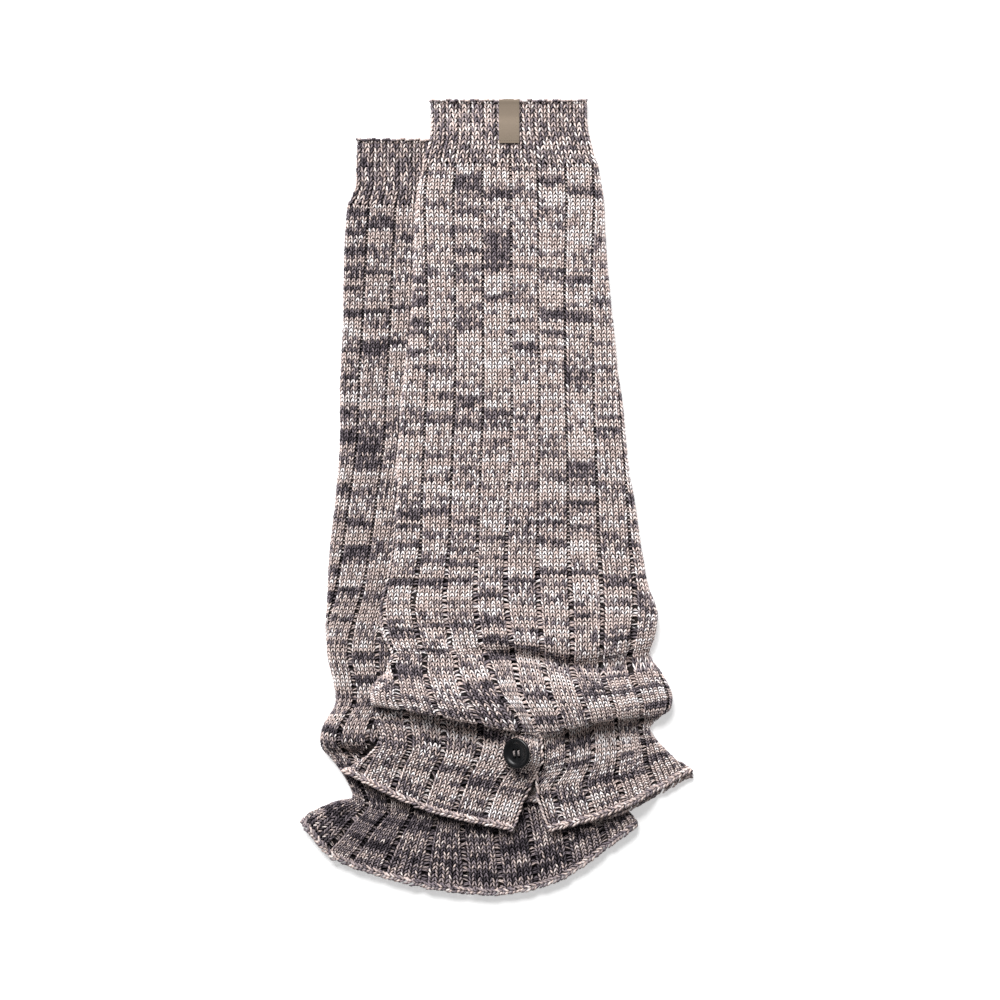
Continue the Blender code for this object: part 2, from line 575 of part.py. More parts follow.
def build_button():
    """A dished disc with a raised rim and four holes, tilted with the flap that it is sewn to."""
    radius = BUTTON_DIAMETER / 2
    half = BUTTON_THICK / 2
    profile = [(0.0, -half), (0.55 * radius, -half), (0.92 * radius, -0.35 * half),
               (radius, 0.2 * half), (0.97 * radius, 0.75 * half), (0.88 * radius, half),
               (0.74 * radius, 0.8 * half), (0.62 * radius, 0.35 * half), (0.0, 0.25 * half)]
    mesh = bmesh.new()
    points = [mesh.verts.new(Vector((across, 0, up)) * MM) for across, up in profile]
    edges = [mesh.edges.new(pair) for pair in zip(points, points[1:])]
    bmesh.ops.spin(mesh, geom=points + edges, cent=(0, 0, 0), axis=(0, 0, 1),
                   angle=2 * math.pi, steps=32, use_merge=True)
    bmesh.ops.remove_doubles(mesh, verts=mesh.verts[:], dist=1e-6)
    button = finish(mesh, "button", BUTTON_MATERIAL)
    for number in range(4):
        mesh = bmesh.new()
        angle = math.radians(45 + 90 * number)
        place = Matrix.Translation(Vector((math.cos(angle), math.sin(angle), 0))
                                   * HOLE_SPACING / math.sqrt(2) * MM)
        bmesh.ops.create_cone(mesh, cap_ends=True, segments=12, radius1=HOLE_DIAMETER / 2 * MM,
                              radius2=HOLE_DIAMETER / 2 * MM, depth=3 * BUTTON_THICK * MM, matrix=place)
        cutter = finish(mesh, f"hole_cutter_{number}", BUTTON_MATERIAL)
        cutter.hide_render = True
        cutter.display_type = "WIRE"
        cutter.parent = button
        hole = button.modifiers.new(f"hole {number}", "BOOLEAN")
        hole.operation = "DIFFERENCE"
        hole.object = cutter
    x, y = BUTTON_CENTRE
    button.location = Vector((x, y, over_support(x, y) + BUTTON_LIFT)) * MM
    turn = Matrix.Rotation(BUTTON_LEAN, 3, "Z") @ Matrix.Rotation(-BUTTON_TILT, 3, "Y")
    button.rotation_euler = turn.to_euler()
    return button


def label_path():
    """Middle line of the folded label, from its end on the cuff, over the edge, into the mouth."""
    x = 0.5 * (LABEL_X[0] + LABEL_X[1])
    clear = SEAM_GAP + LABEL_THICK / 2

    def gap(y):
        return mix(MOUTH_GAP, PANEL_GAP, smooth_step(CUFF_TOP - y, 0, MOUTH_DEPTH))

    def cuff_height(y):
        levels = [(row.y, over_support(x, row.y) + 2 * WALL + gap(row.y)) for row in OVER_CUFF]
        return along(levels, y)

    heights = (LABEL_LOW, 217.0, 220.5, 224.0, 227.0, 230.0, 233.0, 235.5)
    path = [(y, cuff_height(y) + clear) for y in heights]
    top = over_support(x, CUFF_TOP) + 2 * WALL + MOUTH_GAP
    path.append((CUFF_TOP, top + clear))
    path.append((CUFF_TOP + 0.8 * clear, top + 0.6 * clear))
    path.append((CUFF_TOP + clear, top - 0.3 * WALL))
    path.append((CUFF_TOP + clear, top - 0.8 * WALL))
    path.append((CUFF_TOP + 0.6 * clear, top - WALL - 0.8 * clear))
    for inward in (1.0, 0.5 * LABEL_TAIL, LABEL_TAIL):
        y = CUFF_TOP - inward
        path.append((y, cuff_height(y) - WALL - clear))
    return path


def build_label():
    """A woven tape folded over the cuff's edge."""
    path = [Vector((0, y, z)) for y, z in label_path()]
    mesh = bmesh.new()
    sections = []
    for index, point in enumerate(path):
        before = path[max(index - 1, 0)]
        after = path[min(index + 1, len(path) - 1)]
        run = (after - before).normalized()
        side = Vector((0, run.z, -run.y)) * LABEL_THICK / 2
        corners = [point + side + Vector((LABEL_X[0], 0, 0)), point + side + Vector((LABEL_X[1], 0, 0)),
                   point - side + Vector((LABEL_X[1], 0, 0)), point - side + Vector((LABEL_X[0], 0, 0))]
        sections.append([mesh.verts.new(corner * MM) for corner in corners])
    skin(mesh, sections, len(sections))
    mesh.faces.new(sections[0])
    mesh.faces.new(sections[-1])
    return finish(mesh, "label", LABEL_MATERIAL)


def main():
    clear_scene()
    leg_ribs = (RIB_DEPTH, RIB_SHOULDER)
    cuff_ribs = (CUFF_RIB_DEPTH, CUFF_SHOULDER)
    open_from = [row.name for row in OVER_ROWS].index(OPEN_ROW)
    Tube(under_leg_rows(), UNDER_MID, floor_support, leg_ribs, UNDER_FIRST_RIB, UNDER_MID_RIB,
         UNDER_LAST_RIB, pressed=True).build("under_leg", KNIT_UNDER)
    Tube(cuff_rows(UNDER_CUFF, UNDER_CUFF_RIBS), UNDER_MID, floor_support, cuff_ribs, 1,
         CUFF_MID_RIB, 13, pressed=True).build("under_cuff", KNIT_UNDER)
    Tube(OVER_ROWS, OVER_MID, over_support, leg_ribs, OVER_FIRST_RIB, OVER_SLIT_RIB,
         OVER_LAST_RIB, open_from=open_from, seat=True).build("over_leg", KNIT_OVER)
    Tube(cuff_rows(OVER_CUFF, OVER_CUFF_RIBS), OVER_MID, over_support, cuff_ribs, 2,
         CUFF_MID_RIB, 14).build("over_cuff", KNIT_OVER)
    build_button()
    build_label()


if __name__ == "__main__":
    main()
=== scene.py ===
"""Looks of the pair of rib-knit leg warmers: knitted tubes with every stitch of the upper faces
modelled in yarn, cast-off edges, a button, a folded label and the stage. Tables are in millimetres
and repeat those of the solids."""

import math
from collections import namedtuple

import bmesh
import bpy
import numpy as np
from mathutils import Matrix, Vector


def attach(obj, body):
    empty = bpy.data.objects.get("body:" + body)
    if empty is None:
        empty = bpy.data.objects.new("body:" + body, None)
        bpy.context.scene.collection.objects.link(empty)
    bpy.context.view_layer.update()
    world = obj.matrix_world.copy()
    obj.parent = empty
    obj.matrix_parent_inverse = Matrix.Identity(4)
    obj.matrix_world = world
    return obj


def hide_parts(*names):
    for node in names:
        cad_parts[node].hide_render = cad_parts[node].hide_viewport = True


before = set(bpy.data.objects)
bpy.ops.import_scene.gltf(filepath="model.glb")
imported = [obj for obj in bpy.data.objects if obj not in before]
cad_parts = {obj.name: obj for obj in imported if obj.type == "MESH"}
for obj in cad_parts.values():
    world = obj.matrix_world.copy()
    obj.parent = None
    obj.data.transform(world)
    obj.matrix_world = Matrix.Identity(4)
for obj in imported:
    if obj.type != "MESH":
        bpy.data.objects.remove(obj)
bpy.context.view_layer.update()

bl_info = {
    "name": "Pair of rib-knit leg warmers",
    "version": (1, 0, 0),
    "blender": (4, 5, 0),
    "location": "3D View > Sidebar > Leg Warmers",
    "description": "Builds the yarn, edges, button, label and stage round the packed solids",
    "category": "Add Mesh",
}

MM = 0.001
BODY = "root"

# Flattened tubes
WALL = 2.4
PANEL_GAP = 0.8
TUBE = 2 * WALL + PANEL_GAP
EDGE_ROUND = 3.0
EDGE_SHARE = 0.55
THIN_COVER = 3.6
ROUNDINGS = 2

# The lower tube where the upper one presses on it, and the way the upper one comes down off it
LAY_GAP = 0.5
PRESSED_SLOUCH = 9.0
SLOUCH_STARTS = (-75.0, -92.0)
SLOUCH_ENDS = (-152.0, -172.0)
PRESS_NEAR = 1.5
PRESS_FAR = 7.5
SIDE_RAMP = 18.0
END_RAMP = 19.0

# Knitting: wales in a rib and length of a course
LEG_WALES = 5
CUFF_WALES = 2
LEG_COURSE = 2.33
CUFF_COURSE = 2.75

# Grooves between the ribs: how deep and how wide they are, the width as a share of a rib
LEG_GROOVE = (1.9, 0.075)
CUFF_GROOVE = (1.1, 0.13)
GROOVE_SLACK = 0.6

# Purl strands in the grooves: their share of a rib and how deep they lie, at rest and stretched
PURL_SHARE = 0.065
WIDE_PURL_SHARE = 0.15
CUFF_PURL_SHARE = 0.06
PURL_SINK = 0.8
WIDE_PURL_SINK = 0.55

# Cuffs
CUFF_TOP = 237.1
UNDER_CUFF_TOP = 213.5
MOUTH_GAP = 2.0
MOUTH_DEPTH = 16.0

# Label: its lower end, thickness, places along the cuff, the tail inside the mouth, the gap to the
# cloth, the seam above its lower end, the grid that it is made from and its rounding. A stitch of
# the seam goes across, up the cloth and out, with the radius of its thread.
LABEL_LOW = 211.0
LABEL_THICK = 0.6
LABEL_PLACES = (217.0, 222.0, 227.0, 231.0, 234.5)
LABEL_TAIL = 7.0
LABEL_CLEAR = 0.45
LABEL_SEAM = 1.6
LABEL_STITCHES = 9
LABEL_COLUMNS = 12
LABEL_LINES = 72
LABEL_ROUND = 0.22
LABEL_STITCH = ((-0.42, -0.1, -0.12, 0.10), (-0.2, 0.0, 0.04, 0.14), (0.2, 0.0, 0.04, 0.14),
                (0.42, 0.1, -0.12, 0.10))

# Button and the part of the flap that it sits on
BUTTON_CENTRE = (12.5, -154.0)
BUTTON_DIAMETER = 19.2
BUTTON_THICK = 3.0
BUTTON_TILT = math.radians(33)
BUTTON_LEAN = math.radians(7)
BUTTON_LIFT = 12.8
SEAT_TILT = math.radians(24)
SEAT_HEIGHT = 9.8
SEAT_INNER = 9.0
SEAT_OUTER = 14.5
# Its section from the middle of its back to the middle of its dish, in shares of its radius and
# of half its thickness
BUTTON_SECTION = ((0.0, -1.0), (0.55, -1.0), (0.92, -0.35), (1.0, 0.2), (0.97, 0.75), (0.88, 1.0),
                  (0.74, 0.8), (0.62, 0.35), (0.0, 0.25))
RIM_SHARE = 0.97
SECTION_PLACES = 31
BUTTON_STEPS = 64
HOLE_DIAMETER = 1.9
HOLE_ACROSS = 3.2
HOLE_ALONG = 4.2
# Thread from hole to hole: along, up and radius. Two threads lie beside each other.
HOLE_THREAD = ((-1.9, -0.9, 0.28), (-1.2, 0.70, 0.32), (1.2, 0.70, 0.32), (1.9, -0.9, 0.28))
THREAD_BESIDE = 0.3

# One row across a tube, left to right. Heights are those of the upper panel above what lies
# under the tube. The mid points lie part of the way from a side to the slit line.
Row = namedtuple("Row", "name left_x left_y left_mid_y slit_x slit_y flap_x flap_y right_mid_y "
                        "right_x right_y back_y left_h left_mid_h slit_h flap_h right_mid_h "
                        "right_h left_rib right_rib squeeze", defaults=(0.0,))
FLAP_STEP = 0.3


def straight_row(name, y, left_x, middle_x, right_x, left_rib, right_rib, heights=(TUBE,) * 6,
                 step=0.0):
    """A row that runs straight across."""
    return Row(name, left_x, y, y, middle_x, y, middle_x + step, y, y, right_x, y, y, *heights,
               left_rib, right_rib)


def closed_row(name, left_x, left_y, left_mid_y, mid_x, mid_y, right_mid_y, right_x, right_y, back_y,
               left_h, left_mid_h, mid_h, right_mid_h, right_h, *ribs):
    """A row of a tube that has no slit."""
    return Row(name, left_x, left_y, left_mid_y, mid_x, mid_y, mid_x, mid_y, right_mid_y, right_x,
               right_y, back_y, left_h, left_mid_h, mid_h, mid_h, right_mid_h, right_h, *ribs)


OVER_ROWS = [straight_row(*values, step=FLAP_STEP) for values in (
    ("top", 198.7, -44.0, 8.5, 61.5, 0.7, 7.3),
    ("calf_1", 177.5, -48.0, 9.0, 65.0, 0.6, 7.45),
    ("calf_2", 128.5, -50.0, 9.0, 68.0, 0.4, 7.75),
    ("calf_3", 88.0, -53.5, 9.0, 72.5, 0.15, 7.95),
    ("calf_4", 57.5, -57.5, 9.5, 76.0, 0.0, 8.15),
    ("calf_5", 25.5, -60.0, 8.5, 79.0, -0.05, 8.2),
    ("calf_6", -7.0, -61.0, 7.0, 84.0, -0.05, 8.35, (5.6, 5.6, 5.8, 5.8, 5.6, 5.6)),
    ("calf_7", -31.0, -62.5, 6.0, 87.5, -0.1, 8.45, (5.6, 5.8, 6.2, 6.2, 6.2, 5.8)),
    ("swell_1", -47.0, -65.0, 5.5, 90.0, -0.1, 8.5, (6.0, 7.0, 7.6, 7.6, 7.6, 7.0)),
)]
OVER_ROWS += [Row(*values) for values in (
    ("swell_2", -69.5, -65.5, -65.5, 6.0, -65.5, 6.3, -65.5, -66.5, 96.5, -67.0, -66.5,
     7.5, 9.5, 11.0, 11.0, 11.0, 9.0, -0.2, 8.8),
    ("swell_3", -69.5, -80.5, -80.5, 8.0, -80.5, 8.3, -80.5, -82.0, 96.5, -80.5, -80.5,
     7.5, 9.5, 13.0, 13.0, 13.0, 10.0, -0.3, 8.9),
    ("swell_lip", -64.0, -92.0, -92.5, 9.5, -91.5, 9.8, -91.5, -96.5, 93.5, -91.0, -91.5,
     6.5, 8.6, 11.0, 11.0, 10.5, 7.5, -0.2, 8.8),
    ("crease", -63.0, -95.0, -95.5, 9.5, -94.5, 9.8, -94.5, -99.5, 92.5, -93.5, -94.0,
     6.0, 8.0, 6.5, 6.5, 7.0, 6.0, -0.25, 8.8, 0.2),
    ("roll_back", -65.5, -100.5, -103.5, 11.0, -101.0, 11.3, -101.0, -106.0, 98.0, -103.5, -102.0,
     7.0, 9.5, 9.0, 9.0, 10.0, 7.5, -0.3, 9.1, 0.4),
    ("roll_top", -73.0, -112.0, -118.0, 14.5, -118.0, 14.8, -118.0, -118.0, 104.0, -114.5, -113.0,
     10.0, 15.0, 15.0, 15.0, 15.5, 10.5, -0.8, 9.25, 0.7),
    ("roll_front", -75.5, -120.0, -128.5, 21.0, -132.5, 21.3, -132.5, -129.0, 106.0, -122.5, -122.5,
     11.5, 17.6, 16.4, 16.4, 17.0, 11.0, -0.95, 9.3, 1.0),
    ("roll_lip", -75.5, -124.5, -134.5, 25.0, -142.0, 25.3, -142.0, -135.5, 103.0, -130.5, -129.5,
     10.5, 14.5, 14.0, 14.0, 13.0, 9.5, -1.0, 9.2, 1.0),
    ("tuck", -75.0, -127.5, -130.0, 27.0, -146.5, 27.3, -146.5, -131.5, 97.0, -135.0, -133.5,
     5.2, 4.4, 11.5, 9.5, 4.6, 5.2, -1.0, 8.7, 0.8),
    ("flare_1", -74.5, -131.5, -135.0, 27.5, -152.5, 27.8, -152.5, -136.5, 92.5, -139.5, -138.5,
     5.2, 4.4, 12.0, 9.0, 4.6, 5.2, -1.0, 8.5, 0.6),
    ("flare_2", -72.5, -140.0, -146.0, 27.5, -160.0, 27.8, -160.0, -149.5, 96.0, -145.5, -148.0,
     5.4, 5.2, 11.0, 8.5, 5.4, 5.6, -1.05, 8.6, 0.4),
    ("slit_top", -71.5, -147.5, -157.0, 24.5, -166.5, 25.0, -166.5, -160.0, 101.0, -151.0, -157.0,
     5.6, 6.0, 9.2, 6.8, 6.2, 5.8, -1.1, 8.8, 0.2),
    ("flare_3", -77.0, -154.0, -167.5, 20.0, -175.5, 25.0, -176.5, -169.5, 107.0, -156.5, -166.0,
     5.8, 6.0, 7.2, 6.4, 6.0, 6.0, -1.2, 8.95),
    ("flare_4", -84.0, -160.5, -178.5, 15.0, -187.0, 27.5, -188.5, -178.5, 113.0, -160.5, -174.5,
     5.8, 5.8, 5.4, 5.4, 5.8, 6.0, -1.4, 9.1),
    ("cast_off", -90.5, -164.5, -187.5, 11.0, -199.5, 31.0, -200.0, -187.0, 116.5, -164.0, -182.0,
     5.6, 5.2, 3.8, 3.8, 5.2, 5.6, -1.6, 9.2),
)]
# Where its mid points lie on the way to the slit line, the rib that the slit follows, the ribs
# that it takes when open, and the rows below which the flaps lap and the slit opens
OVER_MID = 0.5
OVER_SLIT_RIB = 4
OPEN_RIB_STEP = 0.5
LAP_ROW = "tuck"
OPEN_ROW = "slit_top"
# Where the ribs of the left half lie across a roll that the lap squeezes: share of ribs, of width
SQUEEZED = ((0.0, 0.0), (0.2, 0.224), (0.4, 0.44), (0.6, 0.67), (0.8, 0.91), (1.0, 1.0))
# The same for the gathered left end of the lower leg
GATHERED = ((0.0, 0.0), (0.216, 0.16), (0.412, 0.30), (0.608, 0.50), (0.804, 0.745), (1.0, 1.0))

UNDER_ROWS = [straight_row(*values) for values in (
    ("top", 174.2, -90.0, 4.0, 18.0, 0.05, 6.9),
    ("calf_1", 153.5, -91.5, 3.5, 21.0, 0.05, 7.05),
    ("calf_2", 104.0, -92.5, 2.5, 25.0, 0.15, 7.4),
    ("calf_3", 63.5, -94.0, 0.0, 31.0, 0.2, 7.9),
    ("calf_4", 32.5, -94.0, -2.5, 39.5, 0.25, 8.5),
    ("calf_5", 1.0, -96.5, -6.5, 42.5, 0.35, 8.9),
    ("calf_6", -31.5, -100.0, -11.0, 45.0, 0.4, 9.2),
    ("calf_7", -56.5, -101.5, -15.5, 48.5, 0.55, 9.6, (6.0, 6.2, 5.6, 5.6, 5.6, 5.6)),
    ("swell_1", -74.5, -102.5, -19.0, 53.0, 0.8, 10.0, (7.0, 7.5, 6.5, 6.5, 6.0, 6.0)),
    ("swell_2", -92.5, -102.5, -21.5, 59.5, 1.0, 10.3, (8.0, 8.8, 9.0, 9.0, 9.0, 8.0)),
    ("swell_3", -111.5, -98.5, -24.0, 62.5, 1.0, 10.5, (8.5, 9.0, 9.0, 9.0, 9.0, 8.0)),
)]
UNDER_ROWS += [closed_row(*values) for values in (
    ("notch", -96.5, -124.0, -124.0, -24.5, -124.0, -124.5, 61.0, -125.0, -124.5,
     7.0, 8.5, 9.0, 9.0, 8.0, 1.1, 10.5),
    ("roll_back", -100.0, -131.0, -131.0, -24.5, -131.0, -131.5, 64.0, -132.5, -131.5,
     9.0, 10.5, 9.0, 9.0, 8.0, 1.15, 10.5),
    ("roll_top", -104.5, -138.5, -139.5, -24.0, -139.0, -139.5, 68.0, -139.5, -139.0,
     12.0, 13.0, 9.0, 9.0, 8.0, 1.15, 10.6),
    ("roll_front", -106.0, -145.5, -147.5, -23.5, -145.5, -146.0, 69.5, -146.5, -146.0,
     12.0, 13.5, 9.0, 9.0, 8.0, 1.15, 10.6),
    ("roll_lip", -105.0, -151.0, -152.0, -23.0, -150.5, -151.5, 67.0, -152.5, -152.0,
     10.0, 10.5, 9.0, 9.0, 8.0, 1.15, 10.6),
    ("tuck", -103.0, -154.0, -153.0, -23.0, -154.0, -155.0, 65.0, -155.5, -155.0,
     7.5, 7.0, 9.0, 9.0, 8.0, 1.15, 10.6),
    ("flare_1", -99.5, -157.5, -156.5, -22.0, -158.5, -160.0, 62.5, -160.0, -158.5,
     6.5, 6.2, 8.0, 8.0, 7.0, 1.15, 10.6),
    ("flare_2", -95.5, -162.5, -163.5, -21.5, -166.0, -167.0, 61.0, -166.5, -165.5,
     6.0, 5.8, 6.0, 6.0, 6.0, 1.2, 10.6),
    ("flare_3", -90.0, -170.5, -174.5, -21.0, -178.0, -178.0, 63.5, -173.5, -175.0,
     5.8, 5.6, 5.6, 5.6, 5.6, 1.3, 10.7),
    ("nip", -86.0, -181.0, -187.5, -20.5, -192.5, -190.0, 71.0, -181.0, -186.5,
     5.4, 5.4, 5.6, 5.6, 6.0, 1.2, 10.8, 0.3),
    ("ear_1", -95.0, -183.0, -197.5, -20.0, -207.5, -203.5, 78.0, -186.5, -196.5,
     7.5, 6.0, 5.6, 5.6, 6.5, 1.0, 10.9, 0.8),
    ("ear_2", -105.5, -186.5, -208.0, -18.5, -220.0, -215.5, 82.0, -190.0, -208.5,
     8.0, 6.0, 5.6, 5.6, 6.5, 0.9, 11.0, 1.0),
    ("ear_3", -113.0, -190.0, -214.0, -18.0, -230.0, -226.0, 84.5, -193.0, -220.0,
     8.0, 6.0, 5.6, 5.6, 6.2, 0.9, 11.0, 1.0),
    ("cast_off", -116.5, -194.5, -217.0, -17.5, -237.3, -231.0, 85.0, -196.5, -236.0,
     6.0, 5.6, 5.6, 5.6, 5.8, 0.9, 11.0, 1.0),
)]
# Where its mid points lie on the way to the middle, and the rib that runs down the middle
UNDER_MID = 0.2
UNDER_MID_RIB = 6

# Cuff rows: y, left x, right x
CuffRow = namedtuple("CuffRow", "y left_x right_x")
OVER_CUFF = [CuffRow(*values) for values in (
    (CUFF_TOP, -39.5, 54.5),
    (233.0, -39.5, 54.7),
    (227.0, -39.5, 54.9),
    (220.5, -39.5, 55.3),
    (213.0, -40.0, 57.0),
    (203.0, -43.0, 59.5),
    (198.7, -44.0, 61.5),
)]
UNDER_CUFF = [CuffRow(*values) for values in (
    (UNDER_CUFF_TOP, -83.5, 11.0),
    (197.5, -84.5, 12.0),
    (187.0, -84.5, 12.5),
    (178.5, -87.5, 16.0),
    (174.2, -90.0, 18.0),
)]
# Ribs at the left and right side of a cuff, and the rib in its middle
OVER_CUFF_RIBS = (1.6, 14.4)
UNDER_CUFF_RIBS = (0.4, 13.2)
CUFF_MID_RIB = 8

# Folds of the cloth: a line in plan, then how wide and how deep the trough along it is
OVER_FOLDS = (
    (((-66.0, -130.0), (-48.0, -133.5), (-28.8, -139.0), (-9.6, -144.5), (4.2, -147.5)), 3.5, 3.0),
    (((42.0, -145.5), (54.0, -142.0), (66.0, -139.5), (84.0, -137.5)), 3.0, 2.5),
    (((-58.0, -101.5), (-66.0, -106.5), (-72.0, -114.0)), 1.8, 2.2),
    (((-15.6, -86.7), (7.2, -93.9), (29.4, -95.7), (44.4, -99.9)), 4.0, 1.8),
    (((4.2, -124.5), (10.8, -133.5), (15.0, -142.5)), 1.5, 3.0),
    (((27.0, -163.5), (34.2, -176.7), (39.6, -189.9)), 1.5, 1.2),
    (((-66.0, -131.3), (-63.6, -138.0), (-62.4, -146.7)), 1.8, 2.2),
    (((84.0, -74.7), (79.8, -89.7), (81.6, -101.7)), 1.6, 2.6),
    (((38.4, -101.1), (62.4, -103.5), (86.4, -101.1), (95.4, -95.7)), 3.0, 2.6),
    (((-48.6, -56.7), (-43.2, -74.7), (-27.6, -86.7), (-12.0, -93.5)), 3.2, 2.8),
    (((-60.0, -60.0), (-58.5, -75.0), (-61.0, -88.0)), 2.2, 1.6),
)
UNDER_FOLDS = (
    (((-90.6, -152.1), (-81.6, -153.9), (-73.2, -151.5)), 3.0, 3.0),
    (((-91.8, -191.7), (-85.8, -189.9)), 3.5, 3.0),
)
# Places where folded cloth turns its ribs: centre, how far the turn reaches, degrees
OVER_TURNS = (((-64.0, -117.0), 9.0, -14.0), ((-80.4, -156.9), 9.0, -12.0))
UNDER_TURNS = (((-96.6, -195.9), 14.0, 10.0),)

# Right side of the lower tube, as far as the upper one is held up by it: y, x
UNDER_SIDE = [(238.0, 12.5), (213.5, 12.5), (174.0, 19.5), (104.0, 26.5), (32.5, 41.0),
              (-31.5, 47.0), (-92.0, 62.0), (-146.0, 72.0), (-197.0, 86.5), (-238.0, 86.5)]

# First and last rib of the net of points, and its points across a rib and along a course
OVER_REACH = (-2.2, 9.8)
UNDER_REACH = (-0.6, 11.6)
OVER_CUFF_REACH = (0.6, 15.4)
UNDER_CUFF_REACH = (-0.6, 14.2)
FINE_ACROSS = 12
FINE_ALONG = 2

# Courses are counted along lines that keep clear of the sides and of the slit, and a row is never
# shorter than a share of a course
COUNT_LINES = 5
COUNT_CLEAR = 0.3
COUNT_SLIT_CLEAR = 0.8
SHORTEST_ROW = 0.8

# Cloth behind the strands: its columns, as shares of a rib, and those of its plain back
SHELL_STEPS = (0.0, 0.09, 0.2, 0.5, 0.8, 0.91)
BACK_COLUMNS = 16
# Faces above this height belong to the front, and faces that point further down to the back
FRONT_HEIGHT = 4.0
BACK_FACING = -0.2

# A knit stitch from the face has two legs that rise from the middle of the stitch below. Places
# on a leg across, up and out, and the strand's radius, in millimetres, for a wale 2.8 wide
STITCH_WIDE = 2.8
STITCH_LEG = ((0.20, -0.70, -0.50, 0.26), (0.46, 0.30, 0.20, 0.46),
              (0.86, 1.50, 0.28, 0.48), (1.20, 2.60, -0.40, 0.30))
PURL_WIDE = 2.3
PURL_SPREAD = 1.1
PURL_BARS = (((-1.3, -0.4, -0.8, 0.30), (-0.6, 0.5, 0.2, 0.48), (0.3, 0.7, 0.3, 0.50),
              (1.2, 0.0, -0.8, 0.30)),
             ((-1.2, 1.9, -0.9, 0.28), (-0.5, 1.3, -0.35, 0.42), (0.4, 1.4, -0.4, 0.42),
              (1.1, 2.1, -0.9, 0.28)))
# Strands of an edge: along it, outwards and up. A cast-off edge is a chain of two rows.
CAST_OFF = (((-1.9, 1.9, -0.9, 0.40), (-0.6, 1.55, 0.10, 0.80), (0.8, 0.65, 0.45, 0.80),
             (2.1, 0.0, 0.0, 0.40)),
            ((-1.9, -1.8, -0.5, 0.40), (-0.6, -1.3, 0.35, 0.76), (0.8, -0.5, 0.50, 0.76),
             (2.1, 0.1, 0.0, 0.40)))
SELVEDGE = (((-2.0, 0.2, -0.6, 0.45), (-0.7, 0.0, 0.25, 0.82), (0.8, -0.5, 0.35, 0.82),
             (2.0, -1.2, -0.4, 0.45)),)
CUFF_EDGE = (((-1.8, -0.9, -0.5, 0.50), (-0.8, 0.15, 0.25, 0.90), (0.8, 0.15, 0.25, 0.90),
              (1.8, -0.9, -0.5, 0.50)),)
# Course of the yarn's pattern that the edges are worked in
EDGE_COURSE = 60
# Edges: ribs that they go past the sides, unevenness along and outwards in millimetres, and the
# swing of the cuff's edge in and out
EDGE_PAST = 0.45
CUFF_EDGE_PAST = 0.2
EDGE_SHIFT = 0.3
EDGE_OUT = 0.25
CUFF_SWING = 0.3
SWING_TURN = 2.1
# How far a hem's second chain lies outwards and below, how many ribs it goes past the side, and
# the stretch of x along which it comes out
ROLL_OUT = 2.6
ROLL_DOWN = 2.0
ROLL_PAST = 0.2
ROLL_STARTS = (34.0, 80.0)
BACK_HEM_LIFT = 1.4
KNIT_PITCH = 2.2
SELVEDGE_PITCH = 2.4
CUFF_PITCH = 3.0
# Courses above the lap and above the slit where their edges start
LAP_ABOVE = 2
SLIT_ABOVE = 1
# Places along an edge: round a cuff, along a hem, along the back's hem and along the slit
CUFF_EDGE_PLACES = 60
HEM_PLACES = 90
BACK_HEM_PLACES = 120
SLIT_PLACES = 60

# Strands: their sides, how deep stitches lie, and how high a point stays above the floor
STRAND_SIDES = 4
STITCH_SINK = 0.55
FLOOR_CLEAR = 0.15
# Bands of stitches down each tube, each a piece of its own
BANDS = {"over_leg": 5, "over_cuff": 1, "under_leg": 3, "under_cuff": 1}
# How far apart the array modifiers lay the copies, before they are moved to their places
WALE_APART = 10
RIB_APART = 100
# Where a stitch's middle and foot lie in its course
STITCH_MIDDLE = 0.4
STITCH_FOOT = 0.9
# Unevenness of stitches: across in wales, along in courses, and outwards
UNEVEN = (0.035, 0.05, 0.06)
# Unevenness of stretched purl strands: share of their depth, shift and slant in courses, and the
# share of it that the unstretched ones have
LOOSE = (0.7, 0.18, 0.45)
LEAST_LOOSE = 0.2
# Ribs past a side edge that still have stitches, and how far down a stitch may face
WRAP_RIBS = 0.8
FACING_LEAST = -0.25
# The lower tube has stitches this far under the upper one's edge, and where the open slit shows
# it: the slit's x, the y from which it is open, and the reach to both sides
HIDDEN_MARGIN = 9.0
SLIT_PLACE = (23.0, -174.0)
SLIT_REACH = 15
# Ribs that a stitch may lie past the slit's edge
SLIT_SLACK = 0.02

# Yarn of the upper and the lower leg warmer: where their patterns start
UPPER_SEED = 3.7
LOWER_SEED = 11.3

# The scale of yarn shades, each with the place where it starts
YARN_SCALE = ((0.0, "yarn_dark"), (0.30, "yarn_grey"), (0.50, "yarn_taupe"), (0.64, "yarn_beige"),
              (0.82, "yarn_light"), (1.0, "yarn_white"))

# Mixtures of the yarn: share of the cloth where one starts, its middle on the scale, its spread
LEG_KINDS = ((0.0, 0.16, 0.45), (0.10, 0.28, 0.70), (0.21, 0.46, 0.70), (0.33, 0.58, 0.95),
             (0.50, 0.65, 0.30), (0.67, 0.72, 0.70), (0.84, 0.86, 0.45))
CUFF_KINDS = ((0.0, 0.32, 0.62), (0.30, 0.48, 0.76), (0.62, 0.55, 0.60))
EDGE_KINDS = ((0.0, 0.50, 0.50), (0.40, 0.58, 0.50), (0.70, 0.40, 0.55))

# The yarn's mixture moves on by a step in its pattern from course to course and from rib to rib
COURSE_STEP = 0.33
RIB_STEP = 7.31
# Wales that the end of a mixture's block moves to and fro from course to course
RAGGED = 1.4
# Painted light and shade down a leg warmer: first and last course, and the shift on the scale at each.
# The upper one's calf is painted paler, as it is lit more than its slouch; the lower one is painted
# darker towards its hem, partly as the shadow of the upper one's hem and partly for darker yarn there
UPPER_PAINTED_LIGHT = (75, 110, 0.055, 0)
LOWER_PAINTED_SHADE = (120, 150, -0.02, -0.24)
